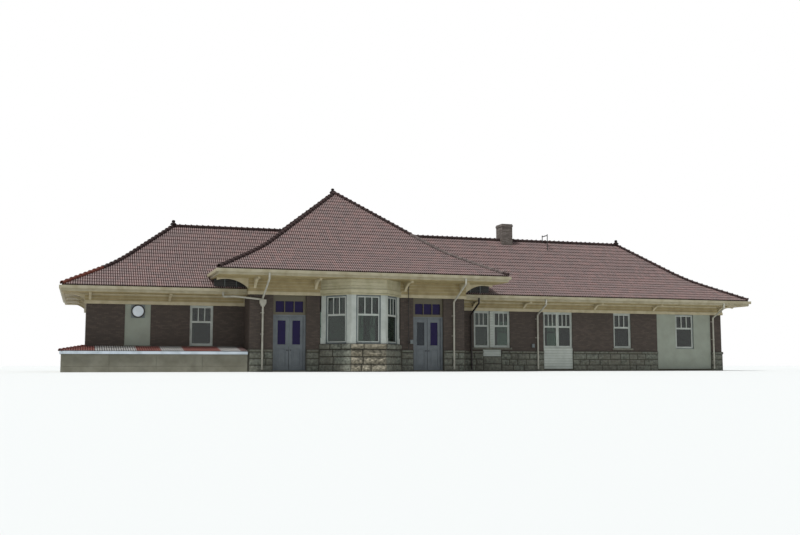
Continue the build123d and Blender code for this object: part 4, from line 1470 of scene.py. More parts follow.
@dataclass
class Boarding:
    """The boards of the friezes, of the bay's crown, of the soffits and of the infills."""

    board: float = 0.16
    gap: float = 0.02
    thickness: float = 0.02
    soffit_board: float = 0.11
    infill_board: float = 0.14
    architrave: float = 0.15
    crown_moulding: float = 0.09
    crown_proud: float = 0.12
    pavilion_crown_proud: float = 0.06
    bay_clearance: float = 0.02
    bay_cornice_top: float = 3.89
    infill_recess: float = 0.03
    low_infill: tuple[float, float, float, float] = (6.07, 7.79, 0.11, 1.22)
    patch: tuple[float, float, float, float] = (2.55, 3.57, 0.77, 1.12)
    office_post: tuple[float, float, float, float] = (2.945, 3.135, 1.24, 3.14)

    def clad(
        self, bm: BMesh, face: WallFace, across: Span,
        high: Span, board: float,
    ) -> None:
        """Nail level boards over a stretch of a face.

        Args:
            bm: The mesh to add to.
            face: The face behind the boards.
            across: The stretch's limits along the face.
            high: The stretch's limits in height.
            board: The boards' width, which is fitted to a whole number of them.
        """
        count = max(1, round((high[1] - high[0]) / board))
        rise = (high[1] - high[0]) / count
        for row in range(count):
            foot = high[0] + row * rise
            add_board(
                bm, face, across, (-self.thickness, 2 * MM),
                (foot + self.gap / 2, foot + rise - self.gap / 2), 4 * MM,
            )

    def ceil(
        self, bm: BMesh, face: WallFace, across: Span,
        reach: Span, soffit: float,
    ) -> None:
        """Nail boards under an eave, along its wall.

        Args:
            bm: The mesh to add to.
            face: The wall's face.
            across: The boards' limits along the wall.
            reach: The nearest and the farthest board's edge out from the wall.
            soffit: The soffit's height.
        """
        count = max(1, round((reach[1] - reach[0]) / self.soffit_board))
        step = (reach[1] - reach[0]) / count
        for row in range(count):
            near = reach[0] + row * step
            add_board(
                bm, face, across, (-near - step + self.gap / 2, -near - self.gap / 2),
                (soffit - self.thickness, soffit + 2 * MM),
            )

    def main_block(self) -> None:
        """Clad the main block's frieze and its soffits."""
        proud = PLAN.frieze_proud
        width, outer = PLAN.half_width + proud, PLAN.half_length + proud + self.thickness
        left, right = PLAN.pavilion_left - proud, PLAN.pavilion_right + proud
        high = (PLAN.brick_top + self.architrave, PLAN.main_soffit - self.crown_moulding)
        frieze, soffit = bmesh.new(), bmesh.new()
        for face, across in (
            (PLAN.front(proud), (-outer, left)), (PLAN.front(proud), (right, outer)),
            (PLAN.back(proud), (-outer, -right)), (PLAN.back(proud), (-left, outer)),
            (PLAN.end(-1, proud), (-width, width)), (PLAN.end(1, proud), (-width, width)),
        ):
            self.clad(frieze, face, across, high, self.board)
        # The frieze boards take the shaded copy of the cream paint: painted shade
        finish_piece("main_frieze_boards", frieze, Slot.CREAM, ["shaded_cream_oil_paint"])
        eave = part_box("main_soffits")[1]
        left, right = PLAN.pavilion_left, PLAN.pavilion_right
        inner = PLAN.half_width + self.crown_proud
        front, back = PLAN.front(), PLAN.back()
        long_reach = (self.crown_proud, eave.y - PLAN.half_width)
        end_reach = (self.crown_proud, eave.x - PLAN.half_length)
        for face, across, reach in (
            (front, (-eave.x, left), long_reach), (front, (right, eave.x), long_reach),
            (back, (-eave.x, -right), long_reach), (back, (-left, eave.x), long_reach),
            (PLAN.end(-1), (-inner, inner), end_reach), (PLAN.end(1), (-inner, inner), end_reach),
        ):
            self.ceil(soffit, face, across, reach, PLAN.main_soffit)
        # The soffit boards take the shaded copy of the cream paint: painted shade
        finish_piece("main_soffit_boards", soffit, Slot.CREAM, ["shaded_cream_oil_paint"])

    def pavilion(self) -> None:
        """Clad the pavilion's frieze and its soffits."""
        proud = PLAN.frieze_proud
        high = (PLAN.pavilion_brick_top + self.architrave, PLAN.pavilion_soffit)
        front = PLAN.pavilion_front + proud
        outer = PLAN.pavilion_half + proud + self.thickness
        low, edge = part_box("pavilion_soffits")
        half, bay = (edge.x - low.x) / 2, PLAN.bay_half + self.bay_clearance
        start, bay_reach = self.pavilion_crown_proud, PLAN.bay_depth + self.bay_clearance
        eave, side_eave = edge.y - PLAN.pavilion_front, half - PLAN.pavilion_half
        clad = [
            (Facing.FRONT, (-outer, -PLAN.bay_half)), (Facing.FRONT, (PLAN.bay_half, outer)),
            (Facing.BACK, (-outer, outer)),
        ]
        ceiled = [
            (Facing.FRONT, (-half, -bay), (start, bay_reach)),
            (Facing.FRONT, (bay, half), (start, bay_reach)),
            (Facing.FRONT, (-half, half), (bay_reach, eave)),
            (Facing.BACK, (-half, half), (start, eave)),
        ]
        for facing in (Facing.LEFT, Facing.RIGHT):
            for across in ((-front, -PLAN.half_width), (PLAN.half_width, front)):
                clad.append((facing, across))
                ceiled.append((facing, across, (start, side_eave)))
        frieze, soffit = bmesh.new(), bmesh.new()
        for facing, across in clad:
            self.clad(frieze, PLAN.pavilion_face(facing, proud), across, high, self.board)
        for facing, across, reach in ceiled:
            self.ceil(soffit, PLAN.pavilion_face(facing), across, reach, PLAN.pavilion_soffit)
        # The pavilion's boards take the shaded copy of the cream paint: painted shade
        for name, bm in (("pavilion_frieze_boards", frieze), ("pavilion_soffit_boards", soffit)):
            finish_piece(name, bm, Slot.CREAM, ["shaded_cream_oil_paint"])

    def crown(self) -> None:
        """Clad the bay's crown, up to the pavilion's soffit."""
        bm = bmesh.new()
        deep = (0, self.thickness + 2 * MM)
        for face, half in PLAN.bay_faces(self.thickness):
            for high in self.crown_rows(PLAN.pavilion_soffit):
                add_board(bm, face, (-half, half), deep, high, 4 * MM)
        finish_piece("bay_crown_boards", bm, Slot.CREAM, ["pale_cream_oil_paint"])

    def crown_rows(self, top: float) -> list[Span]:
        """The heights of the bay crown's boards.

        Args:
            top: The height of the crown's top.

        Returns:
            The foot and the head of each board.
        """
        foot = self.bay_cornice_top
        count = round((top - foot) / self.board)
        rise = (top - foot) / count
        return [
            (foot + i * rise + self.gap / 2, foot + (i + 1) * rise - self.gap / 2)
            for i in range(count)
        ]

    def infills(self) -> None:
        """Board the closed parts below and between the right wing's windows."""
        bm = bmesh.new()
        face = PLAN.front(-self.infill_recess)
        for left, right, low, high in (self.low_infill, self.patch, self.office_post):
            self.clad(bm, face, (left, right), (low, high), self.infill_board)
        finish_piece("infill_boards", bm, Slot.INFILL, ["grey_white_sash_paint"])

    def build(self) -> None:
        """Nail on all the boards."""
        self.main_block()
        self.pavilion()
        self.crown()
        self.infills()


@dataclass
class SashWindow:
    """The painted sashes of one window, laid over the bars of its frame."""

    face: WallFace
    centre: float
    width: float
    sill: float
    head: float
    recess: float = 0.1
    upper_panes: int = 3
    trim_finish: int = 0
    casing: float = 0.07
    bar: float = 0.045
    meeting_share: float = 0.6
    sash_width: float = 1.0
    thickness: float = 0.01
    upper_proud: float = 0.022
    slim: float = 0.004
    trim: float = 0.03

    def lights(self) -> tuple[list[float], float]:
        """Divide the window into sashes that stand side by side.

        Returns:
            The sashes' middles, and the clear width of each.
        """
        count = max(1, round(self.width / self.sash_width))
        light = (self.width - self.casing * (count + 1)) / count
        pitch = light + self.casing
        return [self.centre + pitch * (i - (count - 1) / 2) for i in range(count)], light

    def add_ring(
        self, bm: BMesh, across: Span, high: Span,
        panes: int, proud: float,
    ) -> None:
        """Add one sash: its stiles, rails and upright glazing bars.

        Args:
            bm: The mesh to add to.
            across: The sash's limits along the wall.
            high: The sash's limits in height.
            panes: The number of panes side by side.
            proud: How far it stands out from its frame.
        """
        deep = (self.recess - proud, self.recess + 2 * MM)
        bar = self.bar
        for foot in (high[0], high[1] - bar):
            add_board(bm, self.face, across, deep, (foot, foot + bar), self.slim)
        inner = (high[0] + bar, high[1] - bar)
        pane = (across[1] - across[0] - bar * (panes + 1)) / panes
        for i in range(panes + 1):
            x = across[0] + i * (pane + bar)
            add_board(bm, self.face, (x, x + bar), deep, inner, self.slim)

    def sashes(self, bm: BMesh) -> None:
        """Add an upper sash over a lower one of one pane, for each light."""
        low, high = self.sill + self.casing, self.head - self.casing
        rail = low + (high - low) * self.meeting_share
        centres, light = self.lights()
        for x in centres:
            across = (x - light / 2, x + light / 2)
            self.add_ring(bm, across, (low, rail), 1, self.thickness)
            self.add_ring(bm, across, (rail, high), self.upper_panes, self.upper_proud)

    def trims(self, bm: BMesh) -> None:
        """Add the trim that closes the joint between the frame and the wall."""
        start = len(bm.faces)
        deep = (self.recess - self.trim, self.recess)
        left, right = self.centre - self.width / 2, self.centre + self.width / 2
        head = self.head - self.trim
        for x in (left, right - self.trim):
            add_board(bm, self.face, (x, x + self.trim), deep, (self.sill, head), self.slim)
        for z in (self.sill, head):
            add_board(bm, self.face, (left, right), deep, (z, z + self.trim), self.slim)
        bm.faces.ensure_lookup_table()
        for face in bm.faces[start:]:
            face.material_index = self.trim_finish


@dataclass
class Windows:
    """All the sash windows: their painted sashes, trims and curtains."""

    sill: float = 1.23
    bay_sill: float = 1.32
    bay_window: float = 1.22
    bay_recess: float = 0.09
    fold_pitch: float = 0.075
    fold_depth: float = 0.022
    curtain_gap: float = 0.09
    curtain_margin: float = 0.08
    tie_height: float = 0.2
    tie_share: float = 0.86
    skirt: float = 0.2
    columns: int = 96
    rows: int = 28
    crowding: float = 0.3
    sway: Span = (3, 2)
    # Each window of the wings' fronts: its middle, width, upper panes and trim's finish
    front_windows: tuple[tuple[float, float, int, int], ...] = (
        (2.485, 0.91, 1, 0), (-12.035, 1.1, 3, 0), (3.62, 0.96, 3, 0), (6.93, 1.74, 3, 0),
        (10.875, 1.1, 3, 0), (14.89, 1.19, 3, 1),
    )

    def front(self) -> list[SashWindow]:
        """The windows of the two wings' fronts; the first is the office's."""
        return [
            SashWindow(
                PLAN.front(), x, width, self.sill, PLAN.brick_top, upper_panes=panes,
                trim_finish=finish,
            )
            for x, width, panes, finish in self.front_windows
        ]

    def rear(self) -> list[SashWindow]:
        """The windows of the ends and of the back."""
        return [
            SashWindow(face, x, width, self.sill, top)
            for face, windows, top in (
                (PLAN.back(), PLAN.back_windows, PLAN.brick_top),
                (PLAN.end(-1), PLAN.end_windows, PLAN.brick_top),
                (PLAN.end(1), PLAN.end_windows, PLAN.brick_top),
                (
                    PLAN.pavilion_face(Facing.BACK), PLAN.pavilion_back_windows,
                    PLAN.pavilion_brick_top,
                ),
            )
            for x, width in windows
        ]

    def bay(self) -> list[SashWindow]:
        """The bay's three windows."""
        return [
            SashWindow(
                face, 0, self.bay_window, self.bay_sill, PLAN.pavilion_brick_top,
                recess=self.bay_recess, trim_finish=1,
            )
            for face, _ in PLAN.bay_faces()
        ]

    def curtain(self, name: str, window: SashWindow, tied: float = 0.0) -> None:
        """Hang a gathered curtain behind a window.

        Args:
            name: The curtain's name.
            window: The window that it hangs behind.
            tied: The share of its width that a tie draws in to the middle.
        """
        bm = bmesh.new()
        made = bmesh.ops.create_grid(
            bm, x_segments=self.columns, y_segments=self.rows, size=1
        )["verts"]
        place = window.face.place()
        low, high = window.sill + window.casing, window.head - window.casing
        width = window.width - 2 * self.curtain_margin
        for vert in made:
            u, v = vert.co.x / 2, (vert.co.y + 1) / 2
            if v > self.tie_height:
                drawn = math.sin(math.pi / 2 * (1 - v) / (1 - self.tie_height)) * tied
            else:
                drawn = (1 - self.skirt * (1 - v / self.tie_height)) * tied
            x = window.centre + width * u * (1 - drawn)
            fold = math.sin(math.tau * width * u / self.fold_pitch)
            wander = smooth_noise(Vector((u * self.sway[0], v * self.sway[1], width)))
            deeper = 1 + self.crowding * drawn
            y = self.curtain_gap + self.fold_depth * (deeper * fold + wander)
            vert.co = place @ Vector((x, window.recess + y, low + (high - low) * v))
        area = sum(face.calc_area() for face in bm.faces)
        piece = finish_piece(name, bm, Slot.WHITE, ["cotton_voile"])
        smooth_piece(piece)

    def hang_curtains(self) -> None:
        """Hang the bay's curtains, and one behind the office window."""
        left, middle, right = self.bay()
        self.curtain("bay_left_curtain", left)
        self.curtain("bay_right_curtain", right)
        self.curtain("bay_middle_curtain", middle, self.tie_share)
        self.curtain("office_curtain", self.front()[0])

    def build(self) -> None:
        """Lay the sashes and trims over the frames, and hang the curtains."""
        for name, windows in (
            ("front", self.front()), ("rear", self.rear()), ("bay", self.bay())
        ):
            sashes, trims = bmesh.new(), bmesh.new()
            for window in windows:
                window.sashes(sashes)
                window.trims(trims)
            finish_piece(f"{name}_sashes", sashes, Slot.WHITE, ["grey_white_sash_paint"])
            finish_piece(
                f"{name}_window_trims", trims, Slot.WHITE,
                ["grey_white_sash_paint", "grey_casing_paint"],
            )
        self.hang_curtains()


@dataclass
class DoorLeaf:
    """One glazed door leaf: mouldings round its glass and panel, and a knob."""

    name: str
    pin_x: float
    hand: int
    front_y: float = -5.605
    width: float = 0.69
    pin_gap: float = 0.005
    stile: float = 0.135
    glass: Span = (1.27, 2.45)
    panel: Span = (0.232, 1.10)
    panel_depth: float = 0.012
    field_inset: float = 0.075
    bead: float = 0.022
    bead_proud: float = 0.009
    knob_outline: tuple[Span, ...] = (
        (0.0, 0.058), (0.016, 0.055), (0.026, 0.044), (0.026, 0.032), (0.014, 0.022),
        (0.011, 0.006), (0.028, 0.004), (0.028, 0.0),
    )
    knob_z: float = 1.02
    knob_steps: int = 20

    def middle(self) -> float:
        """The leaf's middle along the facade."""
        return self.pin_x + self.hand * (self.pin_gap + self.width / 2)

    def mouldings(self) -> None:
        """Frame the glass and the lower panel with eased beads, and raise the panel's field."""
        bm = bmesh.new()
        face = WallFace(self.middle(), self.front_y)
        half, bead = self.width / 2 - self.stile, self.bead
        deep = (-self.bead_proud, 4 * MM)
        for low, high in (self.glass, self.panel):
            for foot in (low, high - bead):
                add_board(bm, face, (-half, half), deep, (foot, foot + bead), 4 * MM)
            for x in (-half, half - bead):
                add_board(bm, face, (x, x + bead), deep, (low + bead, high - bead), 4 * MM)
        inset = self.field_inset
        add_board(
            bm, face, (inset - half, half - inset), (4 * MM, self.panel_depth + 1 * MM),
            (self.panel[0] + inset, self.panel[1] - inset), 6 * MM,
        )
        finish_piece(
            f"{self.name}_mouldings", bm, Slot.DOOR, ["grey_blue_door_paint"], self.name
        )

    def knob(self) -> None:
        """Turn the knob and its rose, beside the leaf's free edge."""
        bm = turned_profile(self.knob_outline, self.knob_steps)
        x = self.middle() + self.hand * (self.width / 2 - self.stile / 2)
        place = facing_out((x, self.front_y, self.knob_z))
        bmesh.ops.transform(bm, matrix=place, verts=bm.verts)
        piece = finish_piece(f"{self.name}_knob", bm, Slot.METAL, ["dark_iron_paint"], self.name)
        smooth_piece(piece)

    def build(self) -> None:
        """Dress the leaf."""
        self.mouldings()
        self.knob()


@dataclass
class Doors:
    """The four door leaves."""

    def build(self) -> None:
        """Dress each leaf, on the pin that its joint gives."""
        for joint in frame["record"]["behaviour"]["joints"]:
            hand = 1 if joint["axis"][2] > 0 else -1
            DoorLeaf(joint["child"], joint["pos_m"][0], hand).build()


@dataclass
class RoundPlate:
    """The blank round plate on the left wing: a dark ring round a white face."""

    face_radius: float = 0.252
    face_depth: float = 0.018
    dome: float = 0.004
    steps: int = 64
    ring_outline: tuple[Span, ...] = (
        (0.25, -0.022), (0.252, 0.0), (0.262, 0.01), (0.298, 0.01), (0.312, 0.002),
        (0.314, -0.036),
    )

    def build(self) -> None:
        """Turn the ring and lay in the slightly domed face."""
        low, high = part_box("wall_disc")
        middle = Vector(((low.x + high.x) / 2, low.y, (low.z + high.z) / 2))
        face_out = facing_out(middle)
        ring = turned_profile(self.ring_outline, self.steps)
        bmesh.ops.transform(ring, matrix=face_out, verts=ring.verts)
        finish_piece("round_plate_ring", ring, Slot.PLATE, ["dark_iron_paint"])
        plate = bmesh.new()
        bmesh.ops.create_circle(
            plate, cap_ends=True, segments=self.steps, radius=self.face_radius
        )
        bmesh.ops.inset_region(
            plate, faces=plate.faces[:], thickness=self.face_radius / 3, depth=self.dome
        )
        bmesh.ops.translate(plate, vec=(0, 0, -self.face_depth), verts=plate.verts)
        bmesh.ops.transform(plate, matrix=face_out, verts=plate.verts)
        finish_piece("round_plate_face", plate, Slot.PLATE, ["white_enamel"])


@dataclass
class Ledge:
    """The concrete ledge along the left wing: its tiles, fascia and cast panels."""

    rise: float = 0.22
    fascia_height: float = 0.13
    fascia_drop: float = 0.022
    fascia_thickness: float = 0.02
    panel_width: float = 1.9
    panel_gap: float = 0.014
    panel_proud: float = 0.014
    panel_rows: tuple[Span, ...] = ((0.0, 0.27), (0.27, 0.82))
    whitened: tuple[Span, ...] = (
        (-16.9, -15.1), (-14.0, -13.0), (-11.3, -10.4),
    )
    wall_gap: float = 0.01
    cap_radii: tuple[float, float, float] = (0.08, 0.07, 0.095)
    freshened: tuple[Span, ...] = ((-18.4, -16.9), (-15.1, -14.0), (-13.0, -11.3))

    def tile_material(self, x: float) -> int:
        """The finish of a tile of the front.

        Args:
            x: Its place along the facade.

        Returns:
            The finish's index.
        """
        if any(low < x < high for low, high in self.whitened):
            return 1
        return 2 if any(low < x < high for low, high in self.freshened) else 0

    def lay_tiles(self) -> None:
        """Lay the courses of the pent roof along the front and round the left end."""
        low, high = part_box("ledge_roof")
        foot, head = high.z - self.rise, high.z
        end_x = PLAN.pavilion_left - PLAN.belt_proud
        run_x, run_y = -PLAN.half_length - low.x, -PLAN.half_width - low.y
        corner = (low.x, low.y, 0)
        front = Slope([(0.0, foot), (run_y, head)]).tiled(-low.x)
        bmesh.ops.translate(front, vec=(0, low.y, 0), verts=front.verts)
        cut_away(front, (end_x, 0, 0), (1, 0, 0))
        cut_away(front, corner, (-run_y, run_x, 0))
        for face in front.faces:
            face.material_index = self.tile_material(face.calc_center_median().x)
        end = Slope([(0.0, foot), (run_x, head)]).tiled(-low.x)
        place = WallFace(low.x, 0, Facing.LEFT.value).place()
        bmesh.ops.transform(end, matrix=place, verts=end.verts)
        cut_away(end, (0, PLAN.half_width, 0), (0, 1, 0))
        cut_away(end, corner, (run_y, -run_x, 0))
        bm = mapped_mesh()
        join_into(bm, front)
        join_into(bm, end)
        finish_piece(
            "ledge_tiles", bm, Slot.TILE,
            ["weathered_red_clay_tile", "whitewashed_clay_tile", "fresh_red_clay_tile"],
        )
        caps = mapped_mesh()
        upper = Vector((-PLAN.half_length, -PLAN.half_width, head))
        low_radius, high_radius, collar = self.cap_radii
        CapTile(low_radius=low_radius, high_radius=high_radius, collar_radius=collar).run(
            caps, [Vector((low.x, low.y, foot)), upper], [0]
        )
        finish_piece("ledge_hip_caps", caps, Slot.CAP, ["fresh_red_clay_tile"])

    def fascias(self) -> None:
        """Nail the pale fascia boards along the ledge's edges."""
        low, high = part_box("ledge_roof")
        top = high.z - self.rise - self.fascia_drop
        band = (top - self.fascia_height, top)
        end_x = PLAN.pavilion_left - PLAN.belt_proud - self.wall_gap
        left, front = low.x - self.fascia_thickness, low.y - self.fascia_thickness
        bm = bmesh.new()
        back = PLAN.half_width - self.wall_gap
        add_board(bm, GROUND, (left, end_x), (front, low.y + 2 * MM), band)
        add_board(bm, GROUND, (left, low.x + 2 * MM), (low.y, back), band)
        finish_piece("ledge_fascia_boards", bm, Slot.CONCRETE, ["pale_blue_edge_paint"])

    def cast_panels(self) -> None:
        """Set the cast panels of the ledge's wall, with open joints between them."""
        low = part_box("ledge_walls")[0]
        bm = mapped_mesh()
        end_x = PLAN.pavilion_left - PLAN.belt_proud - self.wall_gap
        for face, start, stop in (
            (WallFace(0, low.y), low.x - self.panel_proud, end_x),
            (WallFace(low.x, 0, Facing.LEFT.value), self.wall_gap - PLAN.half_width, -low.y),
        ):
            count = round((stop - start) / self.panel_width)
            step = (stop - start) / count
            for i in range(count):
                across = (start + i * step, start + (i + 1) * step - self.panel_gap)
                for foot, head in self.panel_rows:
                    add_board(
                        bm, face, across, (-self.panel_proud, 2 * MM),
                        (foot, head - self.panel_gap), 5 * MM,
                    )
        finish_piece("ledge_cast_panels", bm, Slot.CONCRETE, ["cast_concrete"])

    def build(self) -> None:
        """Dress the ledge."""
        self.lay_tiles()
        self.fascias()
        self.cast_panels()


@dataclass
class BayDetail:
    """Plinth blocks of the bay's posts and the mouldings of its cornice."""

    plinth_top: float = 1.6
    plinth_proud: float = 0.022
    set_back: float = 0.04
    window_half: float = 0.61
    wall_gap: float = 0.01
    cornice: tuple[tuple[float, float, float], ...] = (
        (3.635, 3.70, 0.03), (3.86, 3.895, 0.09),
    )

    def build(self) -> None:
        """Add the plinths and the cornice's mouldings to each face of the bay."""
        plinths, mouldings = bmesh.new(), bmesh.new()
        sill_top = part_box("bay_base")[1].z
        for face, half in PLAN.bay_faces(self.plinth_proud - self.set_back):
            for side in (-1, 1):
                across = sorted((side * (self.window_half + self.wall_gap), side * half))
                add_board(
                    plinths, face, tuple(across), (0, self.plinth_proud + 2 * MM),
                    (sill_top, self.plinth_top), 5 * MM,
                )
        for low, high, proud in self.cornice:
            for face, half in PLAN.bay_faces(proud):
                deep = (0, proud + self.wall_gap)
                add_board(mouldings, face, (-half, half), deep, (low, high), 6 * MM)
        finish_piece("bay_post_plinths", plinths, Slot.WHITE, ["grey_white_sash_paint"])
        finish_piece("bay_cornice_mouldings", mouldings, Slot.CREAM, ["pale_cream_oil_paint"])


@dataclass
class Ironwork:
    """Straps of the downspouts, a conduit with its boxes, and dark slats below the side eaves,
    partly a grille and partly painted shade.
    """

    strap_height: float = 0.035
    strap_radius: float = 0.056
    strap_z: tuple[float, ...] = (0.75, 1.75, 2.75)
    plate_half: float = 0.09
    plate_thickness: float = 0.012
    tube_sides: int = 20
    pipe_x: tuple[float, ...] = (1.85, 5.67, 16.7)
    wall_gap: float = 0.107
    pavilion_pipe_inset: float = 0.6
    conduit_x: float = -2.15
    conduit_radius: float = 0.016
    conduit_gap: float = 0.11
    conduit_top_gap: float = 0.012
    clip_half: float = 0.02
    clip_z: tuple[float, ...] = (1.4, 2.4, 3.4)
    box_half: float = 0.075
    box_height: float = 1.3
    box_depth: float = 0.09
    pavilion_box: Span = (-1.98, 1.46)
    wing_box: Span = (5.42, 1.34)
    grille_y: float = 5.25
    grille_foot: float = 0.31
    grille_width: float = 1.55
    grille_top_gap: float = 0.013
    grille_wall_gap: float = 0.06
    slats: int = 5
    slat_depth: float = 0.05
    # Thickness of the black board behind the slats, which is painted shade
    shade_backing: float = 0.012
    bar_offsets: Span = (0.5, 1.05)
    bar_half: float = 0.015
    bar_depth: float = 0.02

    def add_tube(
        self, bm: BMesh, x: float, y: float, low: float, high: float, radius: float
    ) -> None:
        """Add an upright closed tube.

        Args:
            bm: The mesh to add to.
            x: Its place along the facade.
            y: Its distance from the building's middle line.
            low: Its lower end.
            high: Its upper end.
            radius: Its radius.
        """
        bmesh.ops.create_cone(
            bm, cap_ends=True, segments=self.tube_sides, radius1=radius, radius2=radius,
            depth=high - low, matrix=Matrix.Translation((x, y, (low + high) / 2)),
        )

    def straps(self) -> None:
        """Strap each downspout to its wall."""
        bm = bmesh.new()
        inset, plate, thin = self.pavilion_pipe_inset, self.plate_half, self.plate_thickness
        for x, wall in (
            *((x, -PLAN.half_width) for x in self.pipe_x),
            (PLAN.pavilion_left + inset, -PLAN.pavilion_front),
            (PLAN.pavilion_right - inset, -PLAN.pavilion_front),
        ):
            y = wall - self.wall_gap
            for z in self.strap_z:
                band = (z, z + self.strap_height)
                self.add_tube(bm, x, y, *band, self.strap_radius)
                add_board(bm, GROUND, (x - plate, x + plate), (wall - thin, wall), band)
                add_board(bm, GROUND, (x - thin, x + thin), (y, wall), band)
        finish_piece("downspout_straps", bm, Slot.METAL, ["dull_pipe_paint"])

    def conduit(self) -> None:
        """Run the conduit down beside the right door, and set a box on either wall."""
        bm = bmesh.new()
        x, y = self.conduit_x, -PLAN.pavilion_front - self.conduit_gap
        top = PLAN.pavilion_soffit - self.conduit_top_gap
        self.add_tube(bm, x, y, PLAN.belt_top, top, self.conduit_radius)
        across = (x - self.clip_half, x + self.clip_half)
        for z in self.clip_z:
            add_board(bm, GROUND, across, (y, -PLAN.pavilion_front), (z, z + self.strap_height))
        finish_piece("wall_conduit", bm, Slot.METAL, ["dark_iron_paint"])
        boxes = bmesh.new()
        half, rise = self.box_half, self.box_height * self.box_half
        for (x, z), wall in (
            (self.pavilion_box, -PLAN.pavilion_front), (self.wing_box, -PLAN.half_width)
        ):
            deep = (wall - self.box_depth, wall)
            add_board(boxes, GROUND, (x - half, x + half), deep, (z - rise, z + rise), 8 * MM)
        finish_piece("wall_boxes", boxes, Slot.METAL, ["grey_casing_paint"])

    def eave_grilles_and_shade(self) -> None:
        """Close the gaps under the pavilion's side eaves with pale bars, and dark slats on a black
        board that are partly a grille and partly painted shade.
        """
        slats, bars = bmesh.new(), bmesh.new()
        low = PLAN.main_soffit + self.grille_foot
        high = PLAN.pavilion_soffit - self.grille_top_gap
        step, y = (high - low) / self.slats, -self.grille_y
        behind = y + self.slat_depth
        for side in (-1, 1):
            wall = PLAN.pavilion_left if side < 0 else PLAN.pavilion_right
            wall += side * self.grille_wall_gap
            across = tuple(sorted((wall, wall + side * self.grille_width)))
            # The black backing board is painted shade for the deep gap behind the slats
            add_board(slats, GROUND, across, (behind, behind + self.shade_backing), (low, high))
            for i in range(self.slats):
                foot = low + i * step
                add_board(slats, GROUND, across, (y, behind), (foot, foot + step / 3))
            for offset in self.bar_offsets:
                x = wall + side * offset
                band = (x - self.bar_half, x + self.bar_half)
                add_board(bars, GROUND, band, (y - self.bar_depth, y), (low, high))
        finish_piece("side_eave_shade_slats", slats, Slot.METAL, ["dark_iron_paint"])
        finish_piece("side_eave_bars", bars, Slot.CREAM, ["grey_casing_paint"])

    def build(self) -> None:
        """Make the pipes' straps, the conduit, and the dark slats and bars under the side eaves.
        """
        self.straps()
        self.conduit()
        self.eave_grilles_and_shade()


@dataclass
class Camera:
    """The camera that took the photograph, as solved from the building's corners."""

    place: tuple[float, float, float] = (-17.43, -51.12, 0.32)
    yaw: float = math.radians(18.16)
    pitch: float = math.radians(5.76)
    focal_pixels: float = 966.15
    sensor: float = 36.0
    clip_end: float = 1000.0

    def build(self) -> None:
        """Make the camera and set it as the scene's."""
        data = bpy.data.cameras.new("photo_camera")
        data.sensor_width = self.sensor
        data.lens = self.focal_pixels / PHOTO_WIDTH * self.sensor
        data.clip_end = self.clip_end
        camera = put_in_scene("photo_camera", data)
        camera.location = self.place
        camera.rotation_euler = (math.pi / 2 + self.pitch, 0, -self.yaw)
        bpy.context.scene.camera = camera


@dataclass
class Studio:
    """A plain pale floor, a soft key light from the upper left and an even sky."""

    floor_tone: str = "#d9dad7"
    fill_tone: str = "#e6ecf4"
    floor_half: float = 300.0
    floor_drop: float = 0.004
    key_direction: tuple[float, float, float] = (-0.48, -0.15, 1.0)
    key_strength: float = 3.0
    key_angle: float = math.radians(4)
    fill_strength: float = 0.6
    backdrop_tone: str = "#ffffff"

    def build(self) -> None:
        """Make the floor, the key light and the world."""
        bm = bmesh.new()
        bmesh.ops.create_grid(bm, x_segments=1, y_segments=1, size=self.floor_half)
        bmesh.ops.translate(bm, vec=(0, 0, -self.floor_drop), verts=bm.verts)
        mesh = bpy.data.meshes.new("studio_floor")
        bm.to_mesh(mesh)
        bm.free()
        material, tree = blank_material("pale_floor")
        close_material(tree, linear(self.floor_tone), None, 0, {"Roughness": 0.95})
        mesh.materials.append(material)
        put_in_scene("studio_floor", mesh)
        light = bpy.data.lights.new("key", "SUN")
        light.energy = self.key_strength
        light.angle = self.key_angle
        key = put_in_scene("key", light)
        key.rotation_euler = Vector(self.key_direction).to_track_quat("Z", "Y").to_euler()
        self.sky()

    def sky(self) -> None:
        """Make the world: an even fill, with a white backdrop for the camera."""
        world = bpy.data.worlds.new("studio")
        bpy.context.scene.world = world
        world.use_nodes = True
        tree = world.node_tree
        tree.nodes.clear()
        rays = add_node(tree, "LightPath").outputs
        seen = rays["Is Camera Ray"]
        for name in ("Is Glossy Ray", "Is Transmission Ray"):
            seen = add_node(tree, "Math", {".operation": "MAXIMUM"}, {0: seen, 1: rays[name]})
        fill = add_node(
            tree, "Background", {"Color": linear(self.fill_tone), "Strength": self.fill_strength}
        )
        backdrop = add_node(
            tree, "Background", {"Color": linear(self.backdrop_tone), "Strength": 1.0}
        )
        mix = add_node(tree, "MixShader", links={0: seen, 1: fill, 2: backdrop})
        add_node(tree, "OutputWorld", links={"Surface": mix})


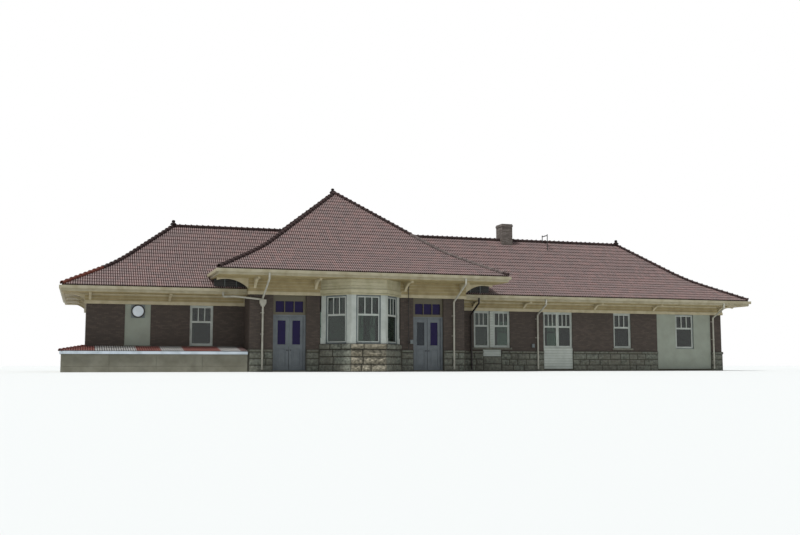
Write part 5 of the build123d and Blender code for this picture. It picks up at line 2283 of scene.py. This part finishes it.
NODE_FINISHES = {
    "cast_concrete": ("floor", "ledge_walls"),
    "dark_pressed_brick": (
        "left_front_wall", "right_front_wall", "end_walls", "back_walls",
        "pavilion_front_piers", "pavilion_side_walls", "pavilion_back_wall",
    ),
    "rough_chimney_brick": ("chimney",),
    "raked_lime_mortar": ("bay_base",),
    "cream_oil_paint": ("main_frieze", "pavilion_frieze", "main_brackets", "pavilion_brackets"),
    # The soffits take the shaded copy of the cream paint: painted shade
    "shaded_cream_oil_paint": ("main_soffits", "pavilion_soffits"),
    "pale_cream_oil_paint": ("bay_crown",),
    "gutter_paint": ("main_gutters", "pavilion_gutters"),
    "dull_pipe_paint": ("downspouts",),
    "dark_iron_paint": ("roof_mast",),
    "grey_casing_paint": ("bay_window_frames", "wall_disc"),
    "grey_white_sash_paint": (
        "bay_posts", "front_window_frames", "rear_window_frames",
    ),
    "green_grey_window_glass": (
        "front_window_glass", "rear_window_glass", "bay_window_glass",
    ),
    "deep_purple_glass": (
        "transom_glass", "left_door_left_leaf_glass", "left_door_right_leaf_glass",
        "right_door_right_leaf_glass",
    ),
    "dusty_grey_glass": ("right_door_left_leaf_glass",),
    "painted_stucco": ("infill_panels",),
    "grey_blue_door_paint": (
        "door_frames", "left_door_left_leaf", "left_door_right_leaf",
        "right_door_left_leaf", "right_door_right_leaf",
    ),
    "weathered_red_clay_tile": (
        "left_wing_roof", "right_wing_roof", "pavilion_roof", "ledge_roof",
    ),
}


def main() -> None:
    """Build the station's pieces in order and report each one."""
    logging.basicConfig(level=logging.INFO, format="%(name)s: %(message)s")
    random.seed(SEED)
    bpy.context.scene.view_settings.view_transform = "Standard"
    Camera().build()
    Studio().build()
    for finish, nodes in NODE_FINISHES.items():
        for node in nodes:
            paint_node(node, finish)
    for part in (
        StationRoofs(), Stonework(), Boarding(), Windows(), BayDetail(), Doors(), RoundPlate(),
        Ledge(), Ironwork(),
    ):
        part.build()
        LOG.info("built %s", type(part).__name__)
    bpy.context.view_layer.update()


if __name__ == "__main__":
    main()
